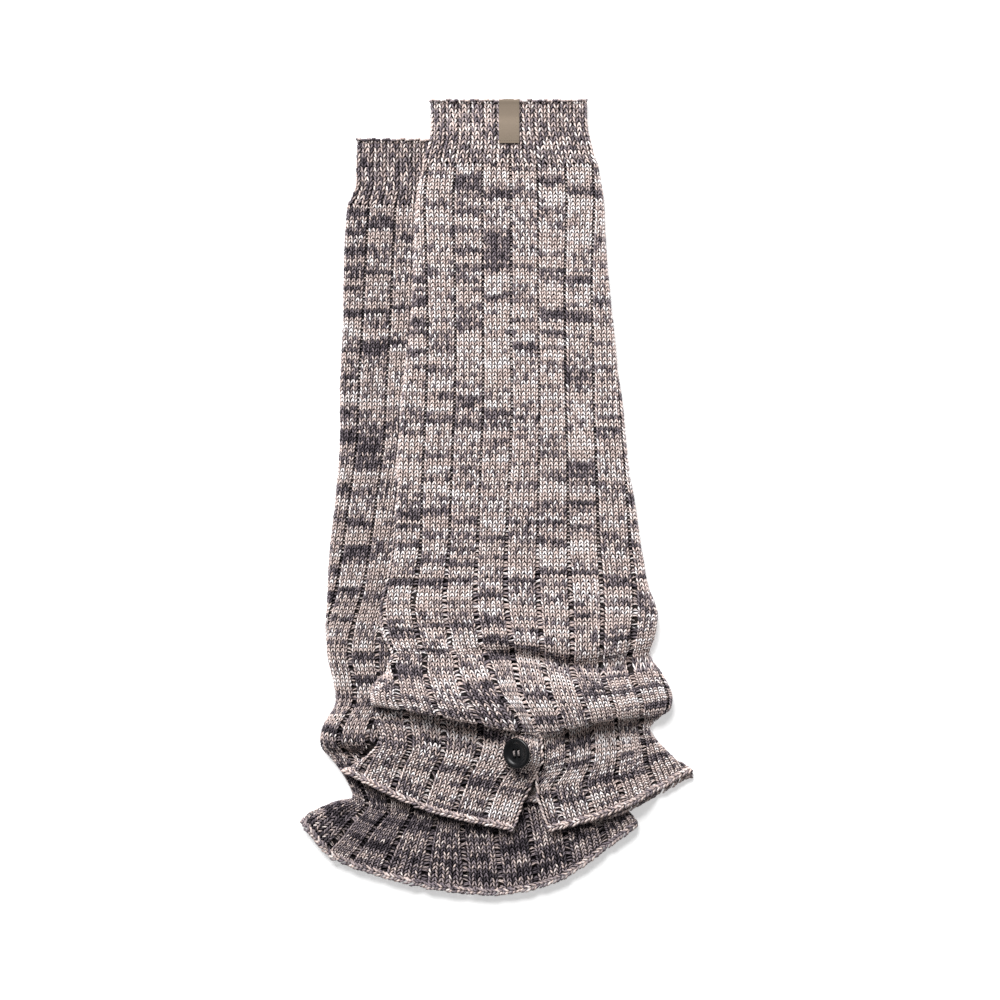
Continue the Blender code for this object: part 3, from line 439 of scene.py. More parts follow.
# Shares of the yarn's brightness: the lower leg warmer; the near-black sheet behind the strands, which is
# painted shade; the inside, darkened as painted shade; the plain back; and the chains that lie below the
# upper leg warmer's hem, darkened as painted shade
LOWER_TINT = 0.9
PAINTED_SHADE_TINT = 0.05
INSIDE_PAINTED_SHADE = 0.35
BACK_TINT = 0.9
BACK_EDGE_PAINTED_SHADE = 0.7
# Plied yarn: its turns in a stitch, how deep they are and how much they shade it
PLY_TURNS = 2.2
PLY_DEPTH = 0.15
PLY_SHADE = 0.07
# Stitches drawn on the plain cloth: their slant and their depth
DRAWN_SLANT = 0.6
DRAWN_DEPTH = 1.0
# Sewing thread: turns in a stitch and depth of its furrows
THREAD_TURNS = 5.0
THREAD_DEPTH = 0.1
# Tape: real weft lies 0.15 mm apart, finer than the picture shows, so it is drawn 0.45 mm apart
WEFT_APART = 0.45
WARP_APART = 0.5
TAPE_CLOUD = 0.714
TAPE_DEPTH = 0.08
# Width of the worn patches on the resin
WORN_PATCH = 3.85

# Stage, in metres and watts: floor, camera's aim, lamp, light all round and glow of the backdrop
FLOOR_REACH = 3.0
FLOOR_DROP = 0.0002
CAMERA_AIM = (0.0024, -0.0027)
KEY_PLACE = (-0.9, 2.35, 2.15)
KEY_POWER = 214
KEY_SIZE = 2.3
SKY_LIGHT = 0.17
PAPER_GLOW = 0.45


def smooth_step(value, start, end):
    """0 at start, 1 at end, with soft ends."""
    part = np.clip((value - start) / (end - start), 0.0, 1.0)
    return part * part * (3 - 2 * part)


def mix(first, second, part):
    """The value that lies part of the way from the first to the second."""
    return first + (second - first) * part


def along(points, at):
    """Straight interpolation in a list of (place, value) pairs sorted downwards by place."""
    places, values = zip(*reversed(points))
    return np.interp(at, places, values)


def smooth_through(places, values, at):
    """A soft curve through a few values, with the slope at each taken from its neighbours."""
    places = np.asarray(places, float)
    values = np.asarray(values, float)
    at = np.asarray(at, float)
    last = len(places) - 1
    low = np.maximum(np.arange(last + 1) - 1, 0)
    high = np.minimum(np.arange(last + 1) + 1, last)
    trailing = (1,) * (values.ndim - 1)
    slopes = (values[high] - values[low]) / (places[high] - places[low]).reshape(-1, *trailing)
    index = np.clip(np.searchsorted(places, at, side="right") - 1, 0, last - 1)
    span = (places[index + 1] - places[index]).reshape(at.shape + trailing)
    part = np.clip((at - places[index]).reshape(span.shape) / span, 0.0, 1.0)
    start = slopes[index] * span
    end = slopes[index + 1] * span
    rise = values[index + 1] - values[index]
    square = part * part
    cube = square * part
    return (values[index] + start * (cube - 2 * square + part)
            + rise * (3 * square - 2 * cube) + end * (cube - square))


def pressed_height(y):
    """Height of the lower tube where the upper one lies on it."""
    slouch = smooth_step(y, *SLOUCH_STARTS) * (1 - smooth_step(y, *SLOUCH_ENDS))
    return mix(TUBE, PRESSED_SLOUCH, slouch)


def over_support(x, y):
    """Height that the upper tube's underside lies at: on the lower tube, then down to the floor."""
    side = 1 - smooth_step(x, along(UNDER_SIDE, y), along(UNDER_SIDE, y) + SIDE_RAMP)
    end = 1 - smooth_step(y, UNDER_CUFF_TOP + 1, UNDER_CUFF_TOP + 1 + END_RAMP)
    return (pressed_height(y) + LAY_GAP) * side * end


def floor_support(x, y):
    """Height that the lower tube's underside lies at."""
    return np.zeros_like(np.asarray(x, float))


def row_curve(row, mid, kind, right_part, joined):
    """The places and values of a row's y or height, across the whole tube or one flap."""
    left_mid = mix(row.left_x, row.slit_x, mid)
    right_mid = mix(row.flap_x, row.right_x, 0.5)
    names = [f"left_{kind}", f"left_mid_{kind}", f"slit_{kind}", f"right_mid_{kind}", f"right_{kind}"]
    values = [getattr(row, name) for name in names]
    if joined:
        return (row.left_x, left_mid, 0.5 * (row.slit_x + row.flap_x), right_mid, row.right_x), values
    if right_part:
        return (row.flap_x, right_mid, row.right_x), [getattr(row, f"flap_{kind}")] + values[3:]
    return (row.left_x, left_mid, row.slit_x), values[:3]


def covered(x, y):
    """1 where the upper tube lies on the lower one, 0 where the lower one shows freely."""
    left = [(row.y, row.left_x) for row in OVER_CUFF] + [(row.left_y, row.left_x) for row in OVER_ROWS]
    hem = OVER_ROWS[-1]
    places, heights = row_curve(hem, OVER_MID, "y", False, True)
    hem_y = smooth_through(places, heights, np.clip(x, hem.left_x, hem.right_x))
    outside = np.maximum(along(left, y) - x, hem_y - y)
    return 1 - smooth_step(outside, PRESS_NEAR, PRESS_FAR)


def fold_depth(folds, x, y):
    """How far all the folds together lower the cloth."""
    total = np.zeros_like(x)
    for line, width, depth in folds:
        nearest = np.full_like(x, np.inf)
        for (x0, y0), (x1, y1) in zip(line, line[1:]):
            run_x, run_y = x1 - x0, y1 - y0
            part = ((x - x0) * run_x + (y - y0) * run_y) / (run_x ** 2 + run_y ** 2)
            part = np.clip(part, 0, 1)
            nearest = np.minimum(nearest, np.hypot(x - x0 - part * run_x, y - y0 - part * run_y))
        total += depth * np.exp(-(nearest / width) ** 2)
    return total


def turn_about(x, y, centre, radius, angle):
    """Places turned about a centre, less and less away from it."""
    across, up = x - centre[0], y - centre[1]
    turn = angle * np.exp(-(across ** 2 + up ** 2) / radius ** 2)
    return (centre[0] + across * np.cos(turn) - up * np.sin(turn),
            centre[1] + across * np.sin(turn) + up * np.cos(turn))


def button_seat(x, y, height):
    """Tilt the flap under the button. The second value is how much of the ribs stays."""
    across = x - BUTTON_CENTRE[0]
    part = 1 - smooth_step(np.hypot(across, y - BUTTON_CENTRE[1]), SEAT_INNER, SEAT_OUTER)
    return mix(height, SEAT_HEIGHT + across * math.tan(SEAT_TILT), part), 1 - part


class Cloth:
    """The outer face of a flattened tube, as points and normals by rib number and course number."""

    def __init__(self, rows, mid, support, slit_rib, reach, course, groove, lap_from=None,
                 open_from=None, pressed=False, seat=False, folds=(), turns=(), squeezed=SQUEEZED):
        self.rows = rows
        self.mid = mid
        self.support = support
        self.slit_rib = slit_rib
        self.reach = reach
        self.groove = groove
        self.lap_from = len(rows) if lap_from is None else lap_from
        self.open_from = len(rows) if open_from is None else open_from
        self.pressed = pressed
        self.seat = seat
        self.folds = folds
        self.turns = turns
        self.squeezed = squeezed
        self.knots = self.count_courses(course)
        self.courses = self.knots[-1]
        self.levels = np.linspace(0, self.courses, math.ceil(self.courses * FINE_ALONG) + 1)
        self.sides = {False: self.lay_side(False), True: self.lay_side(True)}

    def ribs(self, right_part):
        """Evenly spaced rib numbers of one half."""
        low, high = self.reach
        start, end = (self.slit_rib, high) if right_part else (low, self.slit_rib)
        return np.linspace(start, end, math.ceil((end - start) * FINE_ACROSS) + 1)

    def section(self, index, ribs, right_part):
        """x, y and height of the points of a row that lie on the given ribs."""
        row = self.rows[index]
        if right_part:
            start = self.start_rib(index)
            part = (row.right_rib - ribs) / (row.right_rib - start)
            side_x, side_h, width, inward = row.right_x, row.right_h, row.right_x - row.flap_x, -1
        else:
            part = (ribs - row.left_rib) / (self.slit_rib - row.left_rib)
            side_x, side_h, width, inward = row.left_x, row.left_h, row.slit_x - row.left_x, 1
            places, squeezed = zip(*self.squeezed)
            close = np.where((part > 0) & (part < 1), smooth_through(places, squeezed, part), part)
            part = mix(part, close, row.squeeze)
        radius = max(EDGE_ROUND, EDGE_SHARE * side_h)
        quarter = math.pi / 4 * (radius + side_h / 2)
        arc = part * (width - radius + quarter)
        angle = np.clip(arc / quarter, -1, 1) * math.pi / 2
        flat = np.maximum(np.abs(arc) - quarter, 0)
        x = side_x + inward * (radius * (1 - np.cos(angle)) + flat)
        joined = index < self.lap_from
        inside = np.clip(x, row.left_x, row.right_x)
        top_y = smooth_through(*row_curve(row, self.mid, "y", right_part, joined), inside)
        middle = 0.5 * (row.left_x + row.right_x)
        back_y = smooth_through((row.left_x, middle, row.right_x),
                                (row.left_y, row.back_y, row.right_y), x)
        height = smooth_through(*row_curve(row, self.mid, "h", right_part, joined), inside)
        y = np.where(arc >= 0, top_y, back_y)
        return np.stack((x, y, height * 0.5 * (1 + np.sin(angle))), axis=-1)

    def start_rib(self, index):
        """Rib number of the right flap's edge."""
        return self.slit_rib + (OPEN_RIB_STEP if index > self.open_from else 0)

    def start_at(self, courses):
        starts = [self.start_rib(index) for index in range(len(self.rows))]
        return np.interp(courses, self.knots, starts)

    def sides_at(self, courses):
        """Rib numbers of the left and right side edges."""
        left = smooth_through(self.knots, [row.left_rib for row in self.rows], courses)
        right = smooth_through(self.knots, [row.right_rib for row in self.rows], courses)
        return left, right

    def count_courses(self, course):
        """Number of the course at each row, from the lengths of cloth between the rows."""
        low = max(row.left_rib for row in self.rows)
        high = min(row.right_rib for row in self.rows)
        left = np.linspace(low + COUNT_CLEAR, self.slit_rib - COUNT_CLEAR, COUNT_LINES)
        right = np.linspace(self.slit_rib + COUNT_SLIT_CLEAR, high - COUNT_CLEAR, COUNT_LINES)
        knots = [0.0]
        for index in range(1, len(self.rows)):
            steps = []
            for ribs, right_part in ((left, False), (right, True)):
                before = self.section(index - 1, ribs, right_part)
                after = self.section(index, ribs, right_part)
                steps.extend(np.linalg.norm(after - before, axis=-1))
            knots.append(knots[-1] + max(float(np.mean(steps)) / course, SHORTEST_ROW))
        return np.array(knots)

    def lay_side(self, right_part):
        """Points, normals and heights of one half, on a fine net of ribs and courses."""
        ribs = self.ribs(right_part)
        rows = np.stack([self.section(i, ribs, right_part) for i in range(len(self.rows))])
        points = smooth_through(self.knots, rows, self.levels)
        for _ in range(ROUNDINGS):
            points[1:-1] = 0.25 * (points[:-2] + points[2:]) + 0.5 * points[1:-1]
        x, y, height = np.moveaxis(points, -1, 0)
        for centre, radius, degrees in self.turns:
            x, y = turn_about(x, y, centre, radius, math.radians(degrees))
        lift = smooth_step(height, 0, TUBE / 2)
        lowered = np.maximum(height - fold_depth(self.folds, x, y) * lift, THIN_COVER)
        height = np.where(height > THIN_COVER, lowered, height)
        keep = lift
        if self.seat:
            height, left_over = button_seat(x, y, height)
            keep = keep * left_over
        if self.pressed:
            under = covered(x, y)
            height = np.where(height > 0, mix(height, pressed_height(y) * np.clip(lift, 0, 1), under), 0)
            keep = keep * (1 - under)
        points = np.stack((x, y, self.support(x, y) + np.maximum(height, 0)), axis=-1)
        normals = normals_of(points)
        depth, width = self.groove
        away = np.abs(ribs - np.round(ribs))
        relief = -depth * np.exp(-(away / width) ** 2)[None, :] * keep
        relief = np.maximum(relief, -np.maximum(height - THIN_COVER, 0) - GROOVE_SLACK)
        points = points + normals * relief[..., None]
        facing = normals_of(points)
        # The bottom of the middle groove is level, though each half of the net ends there
        middle = 0 if right_part else -1
        facing[:, middle] = normals[:, middle]
        return {"ribs": ribs, "points": points, "normals": facing, "lift": lift}

    def at(self, ribs, courses, right_part, name="points"):
        """Points or normals at the given ribs and courses."""
        side = self.sides[right_part]
        column = (ribs - side["ribs"][0]) / (side["ribs"][1] - side["ribs"][0])
        line = courses / (self.levels[1] - self.levels[0])
        left = np.clip(np.floor(column), 0, len(side["ribs"]) - 2).astype(int)
        above = np.clip(np.floor(line), 0, len(self.levels) - 2).astype(int)
        across = column - left
        down = line - above
        values = side[name]
        if values.ndim == 3:
            across = across[..., None]
            down = down[..., None]
        upper = mix(values[above, left], values[above, left + 1], across)
        lower = mix(values[above + 1, left], values[above + 1, left + 1], across)
        return mix(upper, lower, down)

    def back(self, courses, shares):
        """Points of the plain stretch of the lower panel, from the right half's end to the left's."""
        low, high = self.reach
        levels = np.repeat(courses[:, None], len(shares), axis=1)
        right = self.at(np.full(levels.shape, high), levels, True)
        left = self.at(np.full(levels.shape, low), levels, False)
        x = mix(right[..., 0], left[..., 0], shares)
        middle = smooth_through(self.knots, [row.back_y for row in self.rows], courses)[:, None]
        bow = 4 * shares * (1 - shares)
        straight = mix(right[..., 1], left[..., 1], shares)
        y = straight + bow * (middle - 0.5 * (right[..., 1] + left[..., 1]))
        return np.stack((x, y, self.support(x, y)), axis=-1)


def normals_of(points):
    """Upward normals of a net of points whose rows run down the leg."""
    down = np.gradient(points, axis=0)
    across = np.gradient(points, axis=1)
    normals = np.cross(down, across)
    return normals / np.maximum(np.linalg.norm(normals, axis=-1, keepdims=True), 1e-9)


def cuff_rows(table, ribs):
    """Straight rows of a cuff, a little open at its mouth."""
    mouth = table[0].y
    rows = []
    for row in table:
        gap = mix(MOUTH_GAP, PANEL_GAP, smooth_step(mouth - row.y, 0, MOUTH_DEPTH))
        height = 2 * WALL + gap
        middle = mix(row.left_x, row.right_x, (CUFF_MID_RIB - ribs[0]) / (ribs[1] - ribs[0]))
        rows.append(straight_row("cuff", row.y, row.left_x, middle, row.right_x, *ribs, (height,) * 6))
    return rows


def make_cloths():
    """The four tubes of cloth."""
    names = [row.name for row in OVER_ROWS]
    return {
        "over_leg": Cloth(OVER_ROWS, OVER_MID, over_support, OVER_SLIT_RIB, OVER_REACH, LEG_COURSE,
                          LEG_GROOVE, names.index(LAP_ROW), names.index(OPEN_ROW), seat=True,
                          folds=OVER_FOLDS, turns=OVER_TURNS),
        "over_cuff": Cloth(cuff_rows(OVER_CUFF, OVER_CUFF_RIBS), OVER_MID, over_support,
                           CUFF_MID_RIB, OVER_CUFF_REACH, CUFF_COURSE, CUFF_GROOVE),
        "under_leg": Cloth(UNDER_ROWS, UNDER_MID, floor_support, UNDER_MID_RIB, UNDER_REACH,
                           LEG_COURSE, LEG_GROOVE, pressed=True, folds=UNDER_FOLDS,
                           turns=UNDER_TURNS, squeezed=GATHERED),
        "under_cuff": Cloth(cuff_rows(UNDER_CUFF, UNDER_CUFF_RIBS), UNDER_MID, floor_support,
                            CUFF_MID_RIB, UNDER_CUFF_REACH, CUFF_COURSE, CUFF_GROOVE, pressed=True),
    }


def linear(colour):
    """An sRGB hex colour as linear red, green, blue and alpha."""
    parts = [int(colour[place:place + 2], 16) / 255 for place in (1, 3, 5)]
    return tuple(c / 12.92 if c <= 0.04045 else ((c + 0.055) / 1.055) ** 2.4 for c in parts) + (1.0,)


def add_node(tree, kind, inputs=(), **settings):
    """Add a node with its settings, and feed its inputs, by name or in order, from values, from
    sockets or from the first outputs of other nodes."""
    made = tree.nodes.new("ShaderNode" + kind)
    for name, value in settings.items():
        setattr(made, name, value)
    for key, value in inputs.items() if isinstance(inputs, dict) else enumerate(inputs):
        if isinstance(value, bpy.types.Node):
            value = value.outputs[0]
        if isinstance(value, bpy.types.NodeSocket):
            tree.links.new(value, made.inputs[key])
        else:
            made.inputs[key].default_value = value
    return made


def set_stops(ramp, stops, interpolation):
    """Lay the stops of a colour ramp, each a place and a colour."""
    ramp.color_ramp.interpolation = interpolation
    elements = ramp.color_ramp.elements
    while len(elements) < len(stops):
        elements.new(0.5)
    for element, (place, colour) in zip(elements, stops):
        element.position = place
        element.color = colour


def new_material(name):
    """A bare material with its shader."""
    material = bpy.data.materials.new(name)
    material.use_nodes = True
    return material, material.node_tree, material.node_tree.nodes["Principled BSDF"]


def stitch_place(tree):
    """Strand, course, and the places round the strand and down it: the whole parts and the rest
    of the knit UV."""
    parts = add_node(tree, "SeparateXYZ", (add_node(tree, "UVMap", uv_map="knit"),)).outputs
    return [add_node(tree, "Math", (part,), operation=operation)
            for operation in ("FLOOR", "FRACT") for part in parts[:2]]


def wave(tree, value, length):
    """A wave that repeats after a length of a value."""
    angle = add_node(tree, "Math", (value, 2 * math.pi / length), operation="MULTIPLY")
    return add_node(tree, "Math", (angle,), operation="SINE")


def plies(tree, around, down, turns):
    """Relief of the plies that wind round a strand."""
    return wave(tree, add_node(tree, "Math", (down, turns, around), operation="MULTIPLY_ADD"), 1)


def drawn_stitches(tree, strand, around, down):
    """Relief of knit stitches on plain cloth: two slanting beads for each wale."""
    half = add_node(tree, "Math", (strand, 0.5), operation="MULTIPLY")
    pair = add_node(tree, "Math", (half,), operation="FRACT")
    lean = add_node(tree, "Math", (pair, 4.0, -1.0), operation="MULTIPLY_ADD")
    beside = add_node(tree, "Math", (around, 0.5), operation="SUBTRACT")
    side = add_node(tree, "Math", (lean, beside), operation="MULTIPLY")
    slant = add_node(tree, "Math", (side, DRAWN_SLANT, down), operation="MULTIPLY_ADD")
    bead = add_node(tree, "Math", (slant,), operation="FRACT")
    return add_node(tree, "Math", (wave(tree, around, 2), wave(tree, bead, 2)), operation="MULTIPLY")


def painted_light_and_shade_run(tree, course, seed):
    """Painted light and shade down a leg warmer: the upper one's calf painted a little paler, the lower
    one's hem painted darker, partly as the upper hem's shadow and partly for darker yarn.
    """
    start, end, shade, end_shade = LOWER_PAINTED_SHADE if seed == LOWER_SEED else UPPER_PAINTED_LIGHT
    return add_node(tree, "MapRange", {"Value": course, "From Min": start, "From Max": end,
                                       "To Min": shade, "To Max": end_shade})


def yarn_tone(tree, strand, course, wales, kinds, seed):
    """Where each strand lies on the scale of shades. The yarn is space-dyed: its mixture changes
    every few courses and at the grooves, so that the ribs look built of small bricks. Painted light and
    shade down each leg warmer is added to it."""
    half = add_node(tree, "Math", (strand, 0.5), operation="MULTIPLY")
    wale = add_node(tree, "Math", (half,), operation="FLOOR")
    line = add_node(tree, "CombineXYZ", (course, seed))
    edge = add_node(tree, "TexWhiteNoise", {"Vector": line}, noise_dimensions="2D")
    ragged = add_node(tree, "Math", (edge, RAGGED, -RAGGED / 2), operation="MULTIPLY_ADD")
    shifted = add_node(tree, "Math", (wale, ragged), operation="ADD")
    ribs = add_node(tree, "Math", (shifted, wales + 1.0), operation="DIVIDE")
    rib = add_node(tree, "Math", (ribs,), operation="FLOOR")
    across = add_node(tree, "Math", (rib, RIB_STEP, seed), operation="MULTIPLY_ADD")
    up = add_node(tree, "Math", (course, COURSE_STEP), operation="MULTIPLY")
    block = add_node(tree, "CombineXYZ", (across, up))
    soft = add_node(tree, "TexNoise", {"Vector": block, "Scale": 1.0, "Detail": 1.2, "Roughness": 0.6},
                    noise_dimensions="2D")
    spread = add_node(tree, "MapRange", {"Value": soft, "From Min": 0.27, "From Max": 0.73})
    mixture = add_node(tree, "ValToRGB", (spread,))
    set_stops(mixture, [(place, (middle, width, 0.0, 1.0)) for place, middle, width in kinds], "CONSTANT")
    middle, width = add_node(tree, "SeparateColor", (mixture,)).outputs[:2]
    # Painted light and shade: the upper leg warmer's calf paler, the lower one's hem darker
    run = add_node(tree, "Math", (middle, painted_light_and_shade_run(tree, course, seed)), operation="ADD")
    own = add_node(tree, "CombineXYZ", (strand, course, seed))
    fleck = add_node(tree, "TexWhiteNoise", {"Vector": own}, noise_dimensions="3D")
    off_middle = add_node(tree, "Math", (fleck, 0.5), operation="SUBTRACT")
    return add_node(tree, "Math", (off_middle, width, run), operation="MULTIPLY_ADD")


def knit_material(name, wales, kinds, brightness, strands, seed):
    """Soft space-dyed yarn, plied and knitted: matt, a little hairy, flecked strand by strand."""
    material, tree, shader = new_material(name)
    colours = bpy.context.scene.leg_warmer_colours
    strand, course, around, down = stitch_place(tree)
    tone = yarn_tone(tree, strand, course, wales, kinds, seed)
    if strands:
        relief = plies(tree, around, down, PLY_TURNS)
        tone = add_node(tree, "Math", (relief, PLY_SHADE, tone), operation="MULTIPLY_ADD")
    else:
        relief = drawn_stitches(tree, strand, around, down)
    shade = add_node(tree, "ValToRGB", (tone,))
    set_stops(shade, [(place, (*getattr(colours, key), 1.0)) for place, key in YARN_SCALE], "LINEAR")
    # A brightness below one darkens the yarn; for the sheet behind the strands, the inside and the chains
    # below the upper hem that is painted shade
    tint = add_node(tree, "Mix", {0: 1.0, 6: shade, 7: (brightness,) * 3 + (1.0,)},
                    data_type="RGBA", blend_type="MULTIPLY").outputs[2]
    bump = add_node(tree, "Bump", {"Height": relief, "Strength": 0.7,
                                   "Distance": (PLY_DEPTH if strands else DRAWN_DEPTH) * MM})
    tree.links.new(tint, shader.inputs["Base Color"])
    tree.links.new(bump.outputs[0], shader.inputs["Normal"])
    shader.inputs["Roughness"].default_value = 0.9
    shader.inputs["Specular IOR Level"].default_value = 0.3 * brightness
    shader.inputs["Sheen Weight"].default_value = 0.15 * brightness
    shader.inputs["Sheen Roughness"].default_value = 0.45
    return material


def yarn_materials(upper):
    """The yarn of one leg warmer: on the strands, on its edges and on the back, with darkened copies
    that are painted shade: on the sheet behind the strands, inside, and on the chains below the hem.
    """
    seed = UPPER_SEED if upper else LOWER_SEED
    which = "upper" if upper else "lower"
    tint = 1.0 if upper else LOWER_TINT
    made = {}
    for part, wales, kinds in (("wide", LEG_WALES, LEG_KINDS), ("fine", CUFF_WALES, CUFF_KINDS)):
        name = f"space-dyed wool blend yarn, {part} rib, {which}"
        made[part, "strands"] = knit_material(name, wales, kinds, tint, True, seed)
        # The sheet behind the strands is near black and the inside dark: both are painted shade
        for side, words, brightness in (("shade", "between strands", PAINTED_SHADE_TINT),
                                        ("inside", "inside", INSIDE_PAINTED_SHADE),
                                        ("back", "back", BACK_TINT * tint)):
            made[part, side] = knit_material(f"{name}, {words}", wales, kinds, brightness, False, seed)
    # The second edge yarn is a darkened copy: painted shade for the chains below the upper hem
    for part, brightness in (("edge", tint), ("back edge", BACK_EDGE_PAINTED_SHADE)):
        made[part] = knit_material(f"space-dyed wool blend yarn, {part}, {which}", 0, EDGE_KINDS,
                                   brightness, True, seed)
    return made


def link_mesh(name, data):
    """An object of a mesh, in the scene."""
    piece = bpy.data.objects.new(name, data)
    bpy.context.scene.collection.objects.link(piece)
    return piece


def mesh_object(name, mesh):
    """An object of a finished bmesh."""
    data = bpy.data.meshes.new(name)
    mesh.to_mesh(data)
    mesh.free()
    return link_mesh(name, data)


def shell_net(cloth, inset):
    """A net of points round a tube: its front's two halves and the plain stretch of its back."""
    low, high = cloth.reach
    courses = np.linspace(0, cloth.courses, round(cloth.courses) + 1)
    levels = courses[:, None]

    def columns(start, end):
        places = [rib + step for rib in range(math.floor(start), math.ceil(end)) for step in SHELL_STEPS]
        return np.array([start] + [p for p in places if start + 0.03 < p < end - 0.03] + [end])

    right_net = np.maximum(columns(cloth.slit_rib, high)[None, :], cloth.start_at(courses)[:, None])
    left_net = np.repeat(columns(low, cloth.slit_rib)[None, :], len(courses), axis=0)
    shares = np.linspace(0, 1, BACK_COLUMNS + 2)[1:-1]
    nets = []
    for ribs, right_part in ((right_net, True), (left_net, False)):
        level = np.broadcast_to(levels, ribs.shape)
        points = cloth.at(ribs, level, right_part)
        lift = cloth.at(ribs, level, right_part, "lift")
        normals = cloth.at(ribs, level, right_part, "normals")
        nets.append(points - normals * (inset * lift)[..., None])
    net = np.concatenate((nets[0], cloth.back(courses, shares), nets[1]), axis=1)
    net[..., 2] = np.maximum(net[..., 2], 0)
    back_ribs = high + (shares * (high - low))[None, :] + np.zeros_like(levels)
    return courses, net, np.concatenate((right_net, back_ribs, left_net), axis=1)


def build_shell(name, materials, wales, inset, wall):
    """Lay a grid on the net of points and give it its wall."""
    courses, net, ribs = shell_net(cloths[name], inset)
    lines, columns = net.shape[:2]
    mesh = bmesh.new()
    bmesh.ops.create_grid(mesh, x_segments=columns - 1, y_segments=lines - 1, size=1)
    uv_layer = mesh.loops.layers.uv.new("knit")
    places = {vert: (round((1 - vert.co.y) / 2 * (lines - 1)), round((vert.co.x + 1) / 2 * (columns - 1)))
              for vert in mesh.verts}
    for face in mesh.faces:
        face.smooth = True
        for loop in face.loops:
            line, column = places[loop.vert]
            loop[uv_layer].uv = (2 * (ribs[line, column] * (wales + 1) + 0.5), courses[line])
    for vert, place in places.items():
        vert.co = Vector(net[place]) * MM
    bmesh.ops.remove_doubles(mesh, verts=mesh.verts[:], dist=0.00002)
    bmesh.ops.recalc_face_normals(mesh, faces=mesh.faces[:])
    high = [face for face in mesh.faces if face.calc_center_median().z > FRONT_HEIGHT * MM]
    up = sum(face.normal.z * face.calc_area() for face in high)
    if up < 0:
        bmesh.ops.reverse_faces(mesh, faces=mesh.faces[:])
    # Faces that face up are the near-black sheet seen in the gaps of the strands, which is painted shade;
    # the rest are the plain back
    for face in mesh.faces:
        face.material_index = 0 if face.normal.z > BACK_FACING else 1
    piece = mesh_object(name + "_cloth", mesh)
    for material in materials:
        piece.data.materials.append(material)
    thick = piece.modifiers.new("wall", "SOLIDIFY")
    thick.thickness = wall * MM
    thick.offset = -1
    # The wall's inner faces take the dark inside yarn, which is painted shade
    thick.material_offset = 2
    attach(piece, BODY)
    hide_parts(name)
    return piece


def slot_of(name):
    """The material slot of a tube."""
    return "yarn_upper" if name.startswith("over") else "yarn_lower"


def add_strand(mesh, path, mirror, leg, uv_layer):
    """A closed strand through the path's points. Its UV runs round it and along it."""
    rings = []
    for index, (x, y, z, radius) in enumerate(path):
        before = Vector(path[max(index - 1, 0)][:3])
        after = Vector(path[min(index + 1, len(path) - 1)][:3])
        run = (after - before).normalized()
        side = run.cross(Vector((0, 0, 1))).normalized()
        up = side.cross(run)
        ring = []
        for corner in range(STRAND_SIDES):
            angle = 2 * math.pi * (corner + 0.5) / STRAND_SIDES
            point = Vector((x, y, z)) + (side * math.cos(angle) + up * math.sin(angle)) * radius
            point.x *= mirror
            ring.append(mesh.verts.new(point))
        rings.append(ring)
    for index, (ring, following) in enumerate(zip(rings, rings[1:])):
        for corner in range(STRAND_SIDES):
            after = (corner + 1) % STRAND_SIDES
            face = mesh.faces.new((ring[corner], ring[after], following[after], following[corner]))
            face.smooth = True
            corners = ((corner, index), (corner + 1, index), (corner + 1, index + 1), (corner, index + 1))
            for loop, (around, down) in zip(face.loops, corners):
                loop[uv_layer].uv = (leg + 0.05 + 0.9 * around / STRAND_SIDES,
                                     0.05 + 0.9 * down / (len(path) - 1))
    for ring, down in ((rings[0], 0.05), (rings[-1], 0.95)):
        face = mesh.faces.new(ring)
        for loop in face.loops:
            loop[uv_layer].uv = (leg + 0.5, down)


def array_strands(name, strands, scale, counts, steps):
    """Strands repeated by array modifiers. Gives the mesh, the places of its points, its UV, and
    the numbers of points and of face corners of one copy."""
    mesh = bmesh.new()
    uv_layer = mesh.loops.layers.uv.new("knit")
    for path, mirror, leg in strands:
        add_strand(mesh, path, mirror, leg, uv_layer)
    bmesh.ops.recalc_face_normals(mesh, faces=mesh.faces[:])
    piece = mesh_object(name, mesh)
    base = piece.data
    base.transform(Matrix.Diagonal(scale + (1,)))
    size, loops = len(base.vertices), len(base.loops)
    for count, step in zip(counts, steps):
        array = piece.modifiers.new("row", "ARRAY")
        array.count = count
        array.use_relative_offset = False
        array.use_constant_offset = True
        array.constant_offset_displace = step
    evaluated = piece.evaluated_get(bpy.context.evaluated_depsgraph_get())
    data = bpy.data.meshes.new_from_object(evaluated)
    bpy.data.objects.remove(piece, do_unlink=True)
    bpy.data.meshes.remove(base)
    places = np.empty(len(data.vertices) * 3)
    data.vertices.foreach_get("co", places)
    uv = np.empty(len(data.loops) * 2)
    data.uv_layers["knit"].data.foreach_get("uv", uv)
    return data, places.reshape(-1, 3), uv.reshape(-1, 2), size, loops


def finish_strands(name, data, points, uv, size, keep, material):
    """Move the arrayed strands to their places and take the unwanted copies out."""
    data.name = name
    data.vertices.foreach_set("co", (points * MM).ravel())
    data.uv_layers["knit"].data.foreach_set("uv", uv.ravel())
    bake = data.uv_layers.new(name="OFBake")
    spread = uv - uv.min(axis=0)
    bake.data.foreach_set("uv", (spread / np.maximum(spread.max(axis=0), 1e-6)).ravel())
    data.uv_layers.active = data.uv_layers["knit"]
    mesh = bmesh.new()
    mesh.from_mesh(data)
    mesh.verts.ensure_lookup_table()
    gone = [mesh.verts[index] for copy in np.nonzero(~keep)[0]
            for index in range(copy * size, (copy + 1) * size)]
    bmesh.ops.delete(mesh, geom=gone, context="VERTS")
    mesh.to_mesh(data)
    mesh.free()
    data.materials.append(material)
    piece = link_mesh(name, data)
    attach(piece, BODY)
    return piece


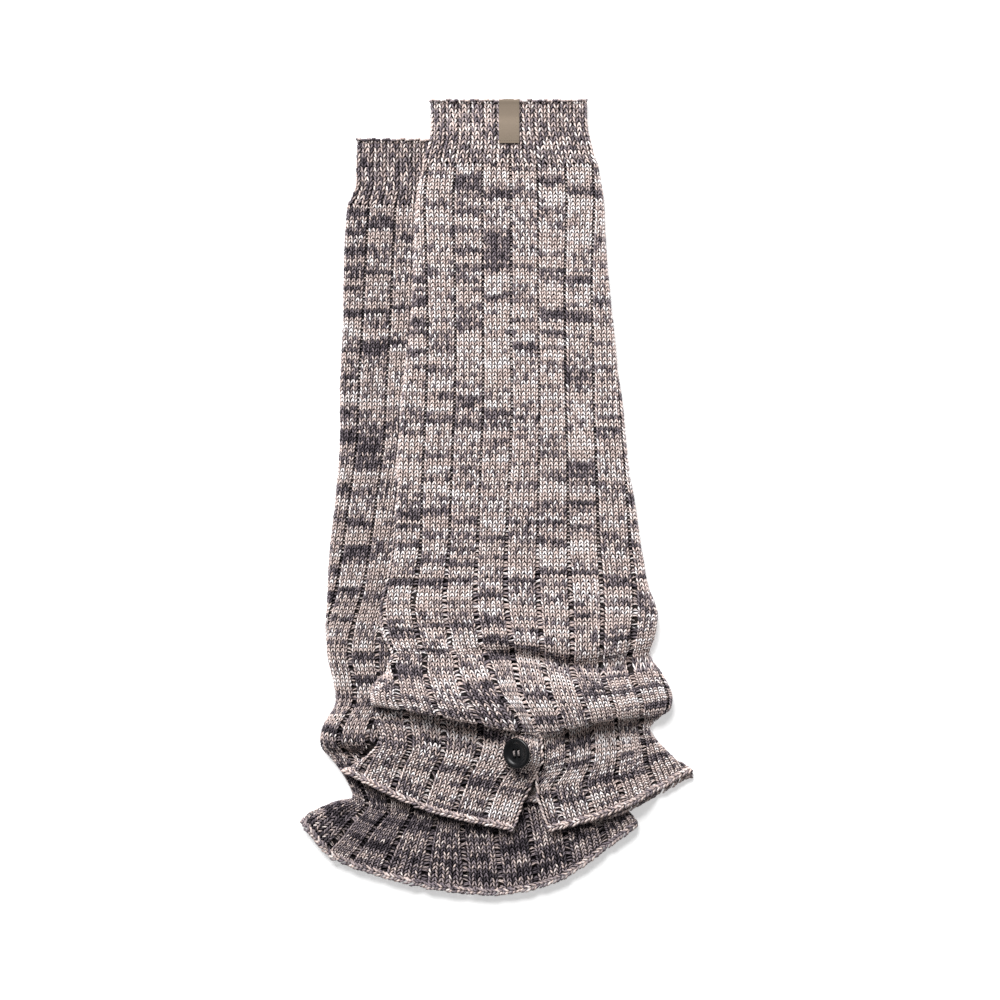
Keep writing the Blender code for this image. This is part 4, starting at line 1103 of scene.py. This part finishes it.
def groove_share(cloth, courses, cuff):
    """How much of a rib the purl groove takes, wider where the cloth is stretched at the slouch,
    and how deep its strands lie."""
    if cuff:
        return np.full(np.shape(courses), CUFF_PURL_SHARE), np.full(np.shape(courses), PURL_SINK)
    names = [row.name for row in cloth.rows]
    opens = smooth_step(courses, cloth.knots[names.index("calf_6")], cloth.knots[names.index("swell_2")])
    return mix(PURL_SHARE, WIDE_PURL_SHARE, opens), mix(PURL_SINK, WIDE_PURL_SINK, opens)


def stitches_to_keep(cloth, ribs, levels, step, opened, on_right):
    """True for the stitches that lie on the upper face, off the slit, and can be seen."""
    left, right = cloth.sides_at(levels)
    keep = (ribs > left - WRAP_RIBS) & (ribs < right + WRAP_RIBS)
    facing = np.where(on_right, cloth.at(ribs, levels, True, "normals")[:, 2],
                      cloth.at(ribs, levels, False, "normals")[:, 2])
    keep &= facing > FACING_LEAST
    keep &= ~on_right | (ribs - step / 2 > cloth.start_at(levels) - SLIT_SLACK)
    keep &= ~(opened & (np.abs(ribs - cloth.slit_rib) < step / 2))
    if cloth.pressed:
        place = np.where(on_right[:, None], cloth.at(ribs, levels, True), cloth.at(ribs, levels, False))
        shows = covered(place[:, 0] - HIDDEN_MARGIN, place[:, 1] - HIDDEN_MARGIN) < 0.999
        in_slit = (np.abs(place[:, 0] - SLIT_PLACE[0]) < SLIT_REACH) & (place[:, 1] < SLIT_PLACE[1])
        keep &= shows | in_slit
    return keep


def stitch_band(name, cloth_name, kind, span, material, rng):
    """All the stitches of one kind on the upper face, between two courses."""
    cloth = cloths[cloth_name]
    cuff = cloth_name.endswith("cuff")
    wales = CUFF_WALES if cuff else LEG_WALES
    low, high = math.floor(cloth.reach[0]), math.ceil(cloth.reach[1])
    first, last = span
    if kind == "knit":
        strands = ((STITCH_LEG, 1, 1), (STITCH_LEG, -1, 0))
        columns, width = wales, STITCH_WIDE
    else:
        strands = tuple((path, 1, number) for number, path in enumerate(PURL_BARS))
        columns, width = 1, PURL_WIDE
    data, flat, uv, size, loops = array_strands(
        name, strands, (1 / width, 1 / LEG_COURSE, 1), (columns, high - low, last - first),
        ((WALE_APART, 0, 0), (RIB_APART, 0, 0), (0, -WALE_APART, 0)))
    number = np.arange(len(flat) // size)
    wale = number % columns
    rib = low + number // columns % (high - low)
    row = first + number // (columns * (high - low))
    owner = np.arange(len(flat)) // size
    x = flat[:, 0] - WALE_APART * wale[owner] - RIB_APART * (rib - low)[owner]
    y = flat[:, 1] + WALE_APART * (row - first)[owner]
    pace = cloth.courses / round(cloth.courses)
    centre_level = pace * (row + STITCH_MIDDLE)
    share, sink = groove_share(cloth, centre_level, cuff)
    if kind == "knit":
        step = (1 - share) / wales
        centre_rib = rib + share / 2 + step * (wale + 0.5)
    else:
        step = PURL_SPREAD * share
        centre_rib = rib.astype(float)
    copies = len(number)
    ribs = (centre_rib + rng.normal(0, UNEVEN[0], copies) * step)[owner] + x * step[owner]
    levels = pace * (row[owner] + STITCH_FOOT - y) + rng.normal(0, UNEVEN[1], copies)[owner]
    out = flat[:, 2] - STITCH_SINK + rng.normal(0, UNEVEN[2], copies)[owner]
    if kind != "knit":
        loose = np.clip((share - PURL_SHARE) / (WIDE_PURL_SHARE - PURL_SHARE), LEAST_LOOSE, 1)
        out = out - (sink * (1 + LOOSE[0] * loose * rng.uniform(-1, 1, copies)))[owner]
        levels = levels + (loose * rng.normal(0, LOOSE[1], copies))[owner]
        levels = levels + x * (loose * rng.normal(0, LOOSE[2], copies))[owner]
    opened = centre_level > cloth.knots[min(cloth.lap_from, len(cloth.rows) - 1)]
    on_right = centre_rib > cloth.slit_rib
    keep = stitches_to_keep(cloth, centre_rib, centre_level, step, opened, on_right)
    right_part = np.where(opened[owner], on_right[owner], ribs > cloth.slit_rib)
    points = np.empty_like(flat)
    for part in (False, True):
        pick = right_part == part
        points[pick] = (cloth.at(ribs[pick], levels[pick], part)
                        + cloth.at(ribs[pick], levels[pick], part, "normals") * out[pick, None])
    points[:, 2] = np.maximum(points[:, 2], FLOOR_CLEAR)
    loop_owner = np.arange(len(uv)) // loops
    uv[:, 0] += 2 * (rib * (wales + 1) + (wale + 1 if kind == "knit" else 0))[loop_owner]
    uv[:, 1] += row[loop_owner]
    return finish_strands(name, data, points, uv, size, keep, material)


def edge_strands(name, line, outward, up, strands, pitch, material, slot, rng, swing=0.0):
    """A row of slanting strands along an edge, as a cast-off edge or a selvedge has."""
    steps = np.linalg.norm(np.diff(line, axis=0), axis=1)
    place = np.concatenate(((0,), np.cumsum(steps)))
    count = max(2, int(place[-1] / pitch))
    pattern = tuple((path, 1, number) for number, path in enumerate(strands))
    data, flat, uv, size, loops = array_strands(name, pattern, (1, 1, 1), (count,),
                                                ((RIB_APART, 0, 0),))
    owner = np.arange(len(flat)) // size
    shift = rng.normal(0, EDGE_SHIFT, count)
    at = (owner + 0.5) * place[-1] / count + flat[:, 0] - RIB_APART * owner + shift[owner]
    out = flat[:, 1] + rng.normal(0, EDGE_OUT, count)[owner] + swing * np.sin(owner * SWING_TURN)

    def follow(values):
        return np.stack([np.interp(at, place, column) for column in values.T], axis=-1)

    # A strand that reaches past the end of the line goes on half as far
    beyond = 0.5 * (at - np.clip(at, 0, place[-1]))[:, None] * unit(np.gradient(line, axis=0))[0]
    points = follow(line) + beyond + follow(outward) * out[:, None] + follow(up) * flat[:, 2:3]
    points[:, 2] = np.maximum(points[:, 2], FLOOR_CLEAR)
    loop_owner = np.arange(len(uv)) // loops
    uv[:, 0] += 2 * loop_owner
    uv[:, 1] += EDGE_COURSE
    keep = np.ones(count, bool)
    return finish_strands(name, data, points, uv, size, keep, material)


def unit(vectors):
    """Vectors of length one in the same directions."""
    return vectors / np.maximum(np.linalg.norm(vectors, axis=-1, keepdims=True), 1e-9)


def edge_line(cloth, ribs, courses, right_part, away):
    """Points along an edge, the directions out of the cloth there, and upwards."""
    line = cloth.at(ribs, courses, right_part)
    up = cloth.at(ribs, courses, right_part, "normals")
    along_edge = unit(np.gradient(line, axis=0))
    return line, unit(np.cross(along_edge, up)) * away, up


def build_edges(name, cloth, material, painted_shade_material, rng):
    """The cast-off and selvedge strands of one tube."""
    made = []

    def bind(part, line, strands, pitch, yarn=material, swing=0.0):
        made.append(edge_strands(f"{name}_{part}", *line, strands, pitch, yarn, slot_of(name), rng,
                                 swing))

    cuff = name.endswith("cuff")
    end = 0.0 if cuff else cloth.courses
    past = CUFF_EDGE_PAST if cuff else EDGE_PAST
    levels = np.full(CUFF_EDGE_PLACES if cuff else HEM_PLACES, end)
    left, right = cloth.sides_at(levels)
    slit = float(cloth.slit_rib)
    start = float(cloth.start_at(end))
    for number, (low, high) in enumerate(((left[0] - past, slit), (start, right[0] + past)), 1):
        ribs = np.linspace(low, high, len(levels))
        line = edge_line(cloth, ribs, levels, number == 2, -1 if cuff else 1)
        if cuff:
            bind(f"edge_{number}", line, CUFF_EDGE, CUFF_PITCH, swing=CUFF_SWING)
        else:
            bind(f"hem_{number}", line, CAST_OFF, KNIT_PITCH)
    if cuff:
        return made
    line = cloth.back(levels[:1], np.linspace(0.02, 0.98, BACK_HEM_PLACES))[0][::-1]
    line = line + (0, 0, BACK_HEM_LIFT)
    up = np.broadcast_to((0.0, 0.0, 1.0), line.shape)
    outward = unit(np.cross(unit(np.gradient(line, axis=0)), up))
    slitted = name == "over_leg"
    # Below the upper leg warmer's hem its back hem takes the darkened yarn, which is painted shade
    bind("back_hem", (line, outward, up), CAST_OFF, KNIT_PITCH, painted_shade_material if slitted else material)
    if not slitted:
        return made
    # The right flap's hem rolls under, so that a second chain shows past the first
    ribs = np.linspace(start + ROLL_PAST, right[0] + ROLL_PAST, len(levels))
    line, outward, up = edge_line(cloth, ribs, levels, True, 1)
    line = line + outward * (ROLL_OUT * smooth_step(line[:, 0], *ROLL_STARTS))[:, None] - up * ROLL_DOWN
    # Its darkened yarn is painted shade
    bind("rolled_hem", (line, outward, up), CAST_OFF, KNIT_PITCH, painted_shade_material)
    courses = np.linspace(cloth.knots[cloth.lap_from] - LAP_ABOVE, end, HEM_PLACES)
    line = edge_line(cloth, np.full(HEM_PLACES, slit), courses, False, -1)
    bind("lap_edge", line, SELVEDGE, SELVEDGE_PITCH)
    courses = np.linspace(cloth.knots[cloth.open_from] - SLIT_ABOVE, end, SLIT_PLACES)
    bind("slit_edge", edge_line(cloth, cloth.start_at(courses), courses, True, 1), SELVEDGE,
         SELVEDGE_PITCH)
    return made


def spun_button():
    """A dished disc with a raised rim and four holes, lying flat about the origin, in mm."""
    places = np.array(BUTTON_SECTION) * (RIM_SHARE * BUTTON_DIAMETER / 2, BUTTON_THICK / 2)
    between = len(places) - 2
    fine = smooth_through(np.arange(1, between + 1), places[1:-1],
                          np.linspace(1, between, SECTION_PLACES))
    mesh = bmesh.new()
    points = [mesh.verts.new((across, 0, up)) for across, up in (places[0], *fine, places[-1])]
    edges = [mesh.edges.new(pair) for pair in zip(points, points[1:])]
    bmesh.ops.spin(mesh, geom=points + edges, cent=(0, 0, 0), axis=(0, 0, 1),
                   angle=2 * math.pi, steps=BUTTON_STEPS, use_merge=True)
    bmesh.ops.remove_doubles(mesh, verts=mesh.verts[:], dist=0.001)
    bmesh.ops.recalc_face_normals(mesh, faces=mesh.faces[:])
    disc = mesh_object("disc", mesh)
    mesh = bmesh.new()
    for across in (-HOLE_ACROSS / 2, HOLE_ACROSS / 2):
        for along_it in (-HOLE_ALONG / 2, HOLE_ALONG / 2):
            bmesh.ops.create_cone(mesh, cap_ends=True, segments=20, radius1=HOLE_DIAMETER / 2,
                                  radius2=HOLE_DIAMETER / 2, depth=4 * BUTTON_THICK,
                                  matrix=Matrix.Translation((across, along_it, 0)))
    cutter = mesh_object("holes", mesh)
    cut = disc.modifiers.new("holes", "BOOLEAN")
    cut.operation = "DIFFERENCE"
    cut.object = cutter
    evaluated = disc.evaluated_get(bpy.context.evaluated_depsgraph_get())
    data = bpy.data.meshes.new_from_object(evaluated)
    for tool in (disc, cutter):
        old = tool.data
        bpy.data.objects.remove(tool, do_unlink=True)
        bpy.data.meshes.remove(old)
    return data


def resin_material(name, colour):
    """Moulded resin, polished and worn a little: near black, with a soft sheen on rim and dish."""
    material, tree, shader = new_material(name)
    place = add_node(tree, "TexCoord").outputs["Object"]
    cloud = add_node(tree, "TexNoise", {"Vector": place, "Scale": 1 / (WORN_PATCH * MM), "Detail": 3.0})
    worn = add_node(tree, "MapRange", {"Value": cloud, "To Min": 0.26, "To Max": 0.42})
    tree.links.new(worn.outputs[0], shader.inputs["Roughness"])
    shader.inputs["Base Color"].default_value = (*colour, 1.0)
    shader.inputs["Specular IOR Level"].default_value = 0.35
    return material


def thread_material(name, colour):
    """Twisted sewing thread: matt, with fine slanting furrows."""
    material, tree, shader = new_material(name)
    around, down = stitch_place(tree)[2:]
    bump = add_node(tree, "Bump", {"Height": plies(tree, around, down, THREAD_TURNS),
                                   "Distance": THREAD_DEPTH * MM, "Strength": 0.8})
    tree.links.new(bump.outputs[0], shader.inputs["Normal"])
    shader.inputs["Base Color"].default_value = (*colour, 1.0)
    shader.inputs["Roughness"].default_value = 0.85
    return material


def tape_material(name, colour):
    """Tightly woven tape: fine ribs of weft across it, and a matt, slightly uneven shade."""
    material, tree, shader = new_material(name)
    uv = add_node(tree, "UVMap", uv_map="tape")
    parts = add_node(tree, "SeparateXYZ", (uv,)).outputs
    weft = wave(tree, parts[1], WEFT_APART)
    warp = add_node(tree, "Math", (wave(tree, parts[0], WARP_APART), 0.3), operation="MULTIPLY")
    relief = add_node(tree, "Math", (weft, 0.7, warp), operation="MULTIPLY_ADD")
    bump = add_node(tree, "Bump", {"Height": relief, "Distance": TAPE_DEPTH * MM, "Strength": 0.8})
    tree.links.new(bump.outputs[0], shader.inputs["Normal"])
    cloud = add_node(tree, "TexNoise", {"Vector": uv, "Scale": 1 / TAPE_CLOUD, "Detail": 4.0})
    pale = add_node(tree, "Math", (cloud, 0.24, 0.86), operation="MULTIPLY_ADD")
    tone = add_node(tree, "Math", (weft, 0.03, pale), operation="MULTIPLY_ADD")
    grey = add_node(tree, "CombineColor", (tone, tone, tone))
    shade = add_node(tree, "Mix", {0: 1.0, 6: (*colour, 1.0), 7: grey}, data_type="RGBA",
                     blend_type="MULTIPLY").outputs[2]
    tree.links.new(shade, shader.inputs["Base Color"])
    shader.inputs["Roughness"].default_value = 0.8
    shader.inputs["Sheen Weight"].default_value = 0.1
    return material


def paper_material(name, colour):
    """Matt paper hung as a backdrop: nearly white, with a faint glow that keeps shadows on it pale."""
    material, _, shader = new_material(name)
    shader.inputs["Base Color"].default_value = (*colour, 1.0)
    shader.inputs["Roughness"].default_value = 0.9
    shader.inputs["Emission Color"].default_value = (1, 1, 1, 1)
    shader.inputs["Emission Strength"].default_value = PAPER_GLOW
    return material


def label_path(x):
    """Middle line of the folded label, from its end on the cuff, over the edge, into the mouth."""
    clear = LABEL_CLEAR + LABEL_THICK / 2

    def cuff_height(y):
        levels = [(row.y, over_support(x, row.y) + 2 * WALL
                   + mix(MOUTH_GAP, PANEL_GAP, smooth_step(CUFF_TOP - row.y, 0, MOUTH_DEPTH)))
                  for row in OVER_CUFF]
        return float(along(levels, y))

    top = cuff_height(CUFF_TOP)
    path = [(y, cuff_height(y) + clear) for y in (LABEL_LOW, *LABEL_PLACES)]
    # Round the edge of the cuff
    path.append((CUFF_TOP - 0.4, top + clear))
    path.append((CUFF_TOP + 0.55 * clear, top + 0.55 * clear))
    path.append((CUFF_TOP + 0.8 * clear, top - 0.5 * WALL))
    path.append((CUFF_TOP + 0.4 * clear, top - WALL - 0.7 * clear))
    for inward in (1.0, 0.5 * LABEL_TAIL, LABEL_TAIL):
        y = CUFF_TOP - inward
        path.append((y, cuff_height(y) - WALL - clear))
    return np.array(path)


def thread_object(name, paths, material):
    """Closed strands of thread as one piece, given in millimetres where they lie."""
    mesh = bmesh.new()
    uv_layer = mesh.loops.layers.uv.new("knit")
    for number, line in enumerate(paths):
        add_strand(mesh, line, 1, number, uv_layer)
    bmesh.ops.recalc_face_normals(mesh, faces=mesh.faces[:])
    piece = mesh_object(name, mesh)
    piece.data.materials.append(material)
    return piece


class LegWarmerSizes(bpy.types.PropertyGroup):
    """Sizes that the looks are built from"""
    wall: bpy.props.FloatProperty(
        name="Wall", description="Thickness of the cloth behind the strands",
        default=0.0011, min=0.0005, max=0.003, precision=4, unit="LENGTH", subtype="DISTANCE")
    inset: bpy.props.FloatProperty(
        name="Inset", description="How far the cloth behind lies below the faces of the strands",
        default=0.0013, min=0.0, max=0.002, precision=4, unit="LENGTH", subtype="DISTANCE")
    seed: bpy.props.IntProperty(
        name="Seed", description="Start of the small irregularities of the stitches", default=7, min=0)
    label_left: bpy.props.FloatProperty(
        name="Label left", description="Place of the label's left edge",
        default=0.0018, precision=4, unit="LENGTH", subtype="DISTANCE")
    label_width: bpy.props.FloatProperty(
        name="Label width", description="Width of the woven tape",
        default=0.0122, min=0.004, precision=4, unit="LENGTH", subtype="DISTANCE")
    camera_distance: bpy.props.FloatProperty(
        name="Camera distance", description="Height of the camera above the part",
        default=3.339, min=1.0, precision=3, unit="LENGTH", subtype="DISTANCE")


def colour_property(name, description, colour):
    """A colour to choose in the panel, from an sRGB hex value."""
    return bpy.props.FloatVectorProperty(name=name, description=description, default=linear(colour)[:3],
                                         min=0.0, max=1.0, size=3, subtype="COLOR")


class LegWarmerColours(bpy.types.PropertyGroup):
    """Colours of the yarn, label, button and floor"""
    yarn_dark: colour_property("Dark", "Darkest dye of the yarn, a plum grey", "#3f383f")
    yarn_grey: colour_property("Grey", "Middle grey of the yarn", "#847980")
    yarn_taupe: colour_property("Taupe", "Warm grey of the yarn", "#b0a1a0")
    yarn_beige: colour_property("Beige", "Pinkish beige of the yarn", "#dfc9c1")
    yarn_light: colour_property("Light", "Pale pink of the yarn", "#f2e6e2")
    yarn_white: colour_property("White", "Undyed yarn", "#fcf6f7")
    label: colour_property("Label", "Taupe woven tape", "#7e7061")
    label_thread: colour_property("Label thread", "Thread that holds the label", "#93877a")
    button: colour_property("Button", "Near-black resin", "#0d0e10")
    thread: colour_property("Thread", "Thread that holds the button", "#8c8482")
    floor: colour_property("Floor", "Pale studio floor", "#f6f6f6")


# What the operators hand on to each other
cloths = {}
yarns = {}
pieces = {}


def need(ready, what):
    """Stop when what an operator builds on isn't there."""
    if not ready:
        raise RuntimeError(f"Build the {what} first")


class LEGWARMERS_OT_cloth(bpy.types.Operator):
    """Lay the four tubes of cloth that lie behind the yarn"""
    bl_idname = "legwarmers.cloth"
    bl_label = "Cloth"

    def execute(self, context):
        cloths.update(make_cloths())
        sizes = context.scene.leg_warmer_sizes
        for name in cloths:
            slot = slot_of(name)
            if slot not in yarns:
                yarns[slot] = yarn_materials(name.startswith("over"))
            rib, wales = ("fine", CUFF_WALES) if name.endswith("cuff") else ("wide", LEG_WALES)
            # The near-black sheet and the dark inside are painted shade
            materials = [yarns[slot][rib, side] for side in ("shade", "back", "inside")]
            pieces[name] = [build_shell(name, materials, wales, sizes.inset / MM, sizes.wall / MM)]
        return {"FINISHED"}


class LEGWARMERS_OT_stitches(bpy.types.Operator):
    """Knit the stitches of the upper faces: plain wales on the ribs, purl bars in the grooves"""
    bl_idname = "legwarmers.stitches"
    bl_label = "Stitches"

    def execute(self, context):
        need(pieces, "cloth")
        rng = np.random.default_rng(context.scene.leg_warmer_sizes.seed)
        for name, cloth in cloths.items():
            rib = "fine" if name.endswith("cuff") else "wide"
            yarn = yarns[slot_of(name)][rib, "strands"]
            edges = [round(cloth.courses * part / BANDS[name]) for part in range(BANDS[name] + 1)]
            for number, span in enumerate(zip(edges, edges[1:]), 1):
                for kind in ("knit", "purl"):
                    band = stitch_band(f"{name}_{kind}_{number}", name, kind, span, yarn, rng)
                    pieces[name].append(band)
        return {"FINISHED"}


class LEGWARMERS_OT_edges(bpy.types.Operator):
    """Bind the cloth off along hems, slit and cuff mouths"""
    bl_idname = "legwarmers.edges"
    bl_label = "Edges"

    def execute(self, context):
        need(pieces and all(len(made) > 1 for made in pieces.values()), "cloth and the stitches")
        rng = np.random.default_rng(context.scene.leg_warmer_sizes.seed + 1)
        for name, cloth in cloths.items():
            cuff = name.endswith("cuff")
            yarn = yarns[slot_of(name)]
            edge = yarn["fine", "strands"] if cuff else yarn["edge"]
            # The second yarn, a darkened copy, is painted shade for the chains below the upper hem
            pieces[name].extend(build_edges(name, cloth, edge, yarn["back edge"], rng))
        return {"FINISHED"}


class LEGWARMERS_OT_button(bpy.types.Operator):
    """Build the button and the thread that holds it"""
    bl_idname = "legwarmers.button"
    bl_label = "Button"

    def execute(self, context):
        colours = context.scene.leg_warmer_colours
        x, y = BUTTON_CENTRE
        place = (Matrix.Scale(MM, 4) @ Matrix.Translation((x, y, over_support(x, y) + BUTTON_LIFT))
                 @ Matrix.Rotation(BUTTON_LEAN, 4, "Z") @ Matrix.Rotation(-BUTTON_TILT, 4, "Y"))
        data = spun_button()
        data.transform(place)
        data.shade_smooth()
        data.set_sharp_from_angle(angle=math.radians(50))
        data.materials.clear()
        data.materials.append(resin_material("black moulded resin, worn", colours.button))
        button = link_mesh("button_disc", data)
        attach(button, BODY)
        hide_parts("button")
        paths = []
        for across in (-HOLE_ACROSS / 2, HOLE_ACROSS / 2):
            for beside in (-THREAD_BESIDE, THREAD_BESIDE):
                paths.append([(across + beside, along_it, up, radius)
                              for along_it, up, radius in HOLE_THREAD])
        thread = thread_object("button_thread", paths,
                               thread_material("twisted sewing thread, pale", colours.thread))
        thread.data.transform(place)
        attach(thread, BODY)
        return {"FINISHED"}


class LEGWARMERS_OT_label(bpy.types.Operator):
    """Build the folded label with its row of stitches"""
    bl_idname = "legwarmers.label"
    bl_label = "Label"

    def execute(self, context):
        colours = context.scene.leg_warmer_colours
        sizes = context.scene.leg_warmer_sizes
        left = sizes.label_left / MM
        width = sizes.label_width / MM
        path = label_path(left + width / 2)
        lengths = np.concatenate(((0,), np.cumsum(np.hypot(*np.diff(path, axis=0).T))))
        at = np.linspace(0, lengths[-1], LABEL_LINES + 1)
        line = smooth_through(lengths, path, at)
        mesh = bmesh.new()
        bmesh.ops.create_grid(mesh, x_segments=LABEL_COLUMNS, y_segments=LABEL_LINES, size=1)
        uv_layer = mesh.loops.layers.uv.new("tape")
        places = {vert: (0.5 * (vert.co.x + 1) * width, round(0.5 * (vert.co.y + 1) * LABEL_LINES))
                  for vert in mesh.verts}
        for face in mesh.faces:
            face.smooth = True
            for loop in face.loops:
                across, row = places[loop.vert]
                loop[uv_layer].uv = (across, at[row])
        for vert, (across, row) in places.items():
            vert.co = Vector((left + across, *line[row])) * MM
        bmesh.ops.recalc_face_normals(mesh, faces=mesh.faces[:])
        front_y = (CUFF_TOP - LABEL_TAIL) * MM
        if sum(face.normal.z for face in mesh.faces if face.calc_center_median().y < front_y) < 0:
            bmesh.ops.reverse_faces(mesh, faces=mesh.faces[:])
        label = mesh_object("label_tape", mesh)
        thick = label.modifiers.new("thickness", "SOLIDIFY")
        thick.thickness = LABEL_THICK * MM
        thick.offset = 0
        round_edge = label.modifiers.new("soft edge", "BEVEL")
        round_edge.width = LABEL_ROUND * LABEL_THICK * MM
        round_edge.segments = 2
        round_edge.angle_limit = math.radians(50)
        label.data.materials.append(tape_material("taupe woven tape", colours.label))
        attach(label, BODY)
        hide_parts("label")
        up = float(np.interp(LABEL_SEAM, lengths, path[:, 1])) + LABEL_THICK / 2
        paths = []
        for number in range(LABEL_STITCHES):
            x = left + width * (number + 0.5) / LABEL_STITCHES
            paths.append([(x + across, LABEL_LOW + LABEL_SEAM + rise, up + out, radius)
                          for across, rise, out, radius in LABEL_STITCH])
        seam = thread_object("label_stitches", paths,
                             thread_material("twisted sewing thread, taupe", colours.label_thread))
        seam.data.transform(Matrix.Scale(MM, 4))
        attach(seam, BODY)
        return {"FINISHED"}


class LEGWARMERS_OT_stage(bpy.types.Operator):
    """Build the floor, the lights and the camera"""
    bl_idname = "legwarmers.stage"
    bl_label = "Stage"

    def execute(self, context):
        scene = context.scene
        mesh = bmesh.new()
        bmesh.ops.create_grid(mesh, x_segments=1, y_segments=1, size=FLOOR_REACH)
        floor = mesh_object("floor", mesh)
        floor.data.transform(Matrix.Translation((0, 0, -FLOOR_DROP)))
        floor.data.materials.append(paper_material("matt white paper backdrop",
                                                   scene.leg_warmer_colours.floor))
        camera = bpy.data.cameras.new("camera")
        camera.lens = 200
        camera.sensor_width = 36
        camera.clip_end = 20
        eye = bpy.data.objects.new("camera", camera)
        eye.location = (*CAMERA_AIM, scene.leg_warmer_sizes.camera_distance)
        scene.collection.objects.link(eye)
        scene.camera = eye
        key = bpy.data.lights.new("key", "AREA")
        key.energy = KEY_POWER
        key.size = KEY_SIZE
        lamp = bpy.data.objects.new("key", key)
        lamp.location = KEY_PLACE
        lamp.rotation_euler = (-lamp.location).to_track_quat("-Z", "Y").to_euler()
        scene.collection.objects.link(lamp)
        world = bpy.data.worlds.new("studio")
        world.use_nodes = True
        world.node_tree.nodes["Background"].inputs[0].default_value = (1, 1, 1, 1)
        world.node_tree.nodes["Background"].inputs[1].default_value = SKY_LIGHT
        scene.world = world
        scene.view_settings.view_transform = "Standard"
        return {"FINISHED"}


class LEGWARMERS_PT_panel(bpy.types.Panel):
    """Lists the leg warmers' pieces, sizes and colours"""
    bl_label = "Leg Warmers"
    bl_space_type = "VIEW_3D"
    bl_region_type = "UI"
    bl_category = "Leg Warmers"

    def draw(self, context):
        column = self.layout.column()
        for operator in ("cloth", "stitches", "edges", "button", "label", "stage"):
            column.operator(f"legwarmers.{operator}")
        for group in (context.scene.leg_warmer_sizes, context.scene.leg_warmer_colours):
            for name in group.__annotations__:
                column.prop(group, name)


classes = (LegWarmerSizes, LegWarmerColours, LEGWARMERS_OT_cloth, LEGWARMERS_OT_stitches,
           LEGWARMERS_OT_edges, LEGWARMERS_OT_button, LEGWARMERS_OT_label, LEGWARMERS_OT_stage,
           LEGWARMERS_PT_panel)


def register():
    for item in classes:
        bpy.utils.register_class(item)
    bpy.types.Scene.leg_warmer_sizes = bpy.props.PointerProperty(type=LegWarmerSizes)
    bpy.types.Scene.leg_warmer_colours = bpy.props.PointerProperty(type=LegWarmerColours)


def unregister():
    del bpy.types.Scene.leg_warmer_colours
    del bpy.types.Scene.leg_warmer_sizes
    for item in reversed(classes):
        bpy.utils.unregister_class(item)


def corners(box):
    """The two corners of a box as plain lists."""
    return [[float(value) for value in corner] for corner in box]


def main():
    register()
    bpy.ops.legwarmers.cloth()
    bpy.ops.legwarmers.stitches()
    bpy.ops.legwarmers.edges()
    bpy.ops.legwarmers.button()
    bpy.ops.legwarmers.label()
    bpy.ops.legwarmers.stage()


if __name__ == "__main__":
    main()
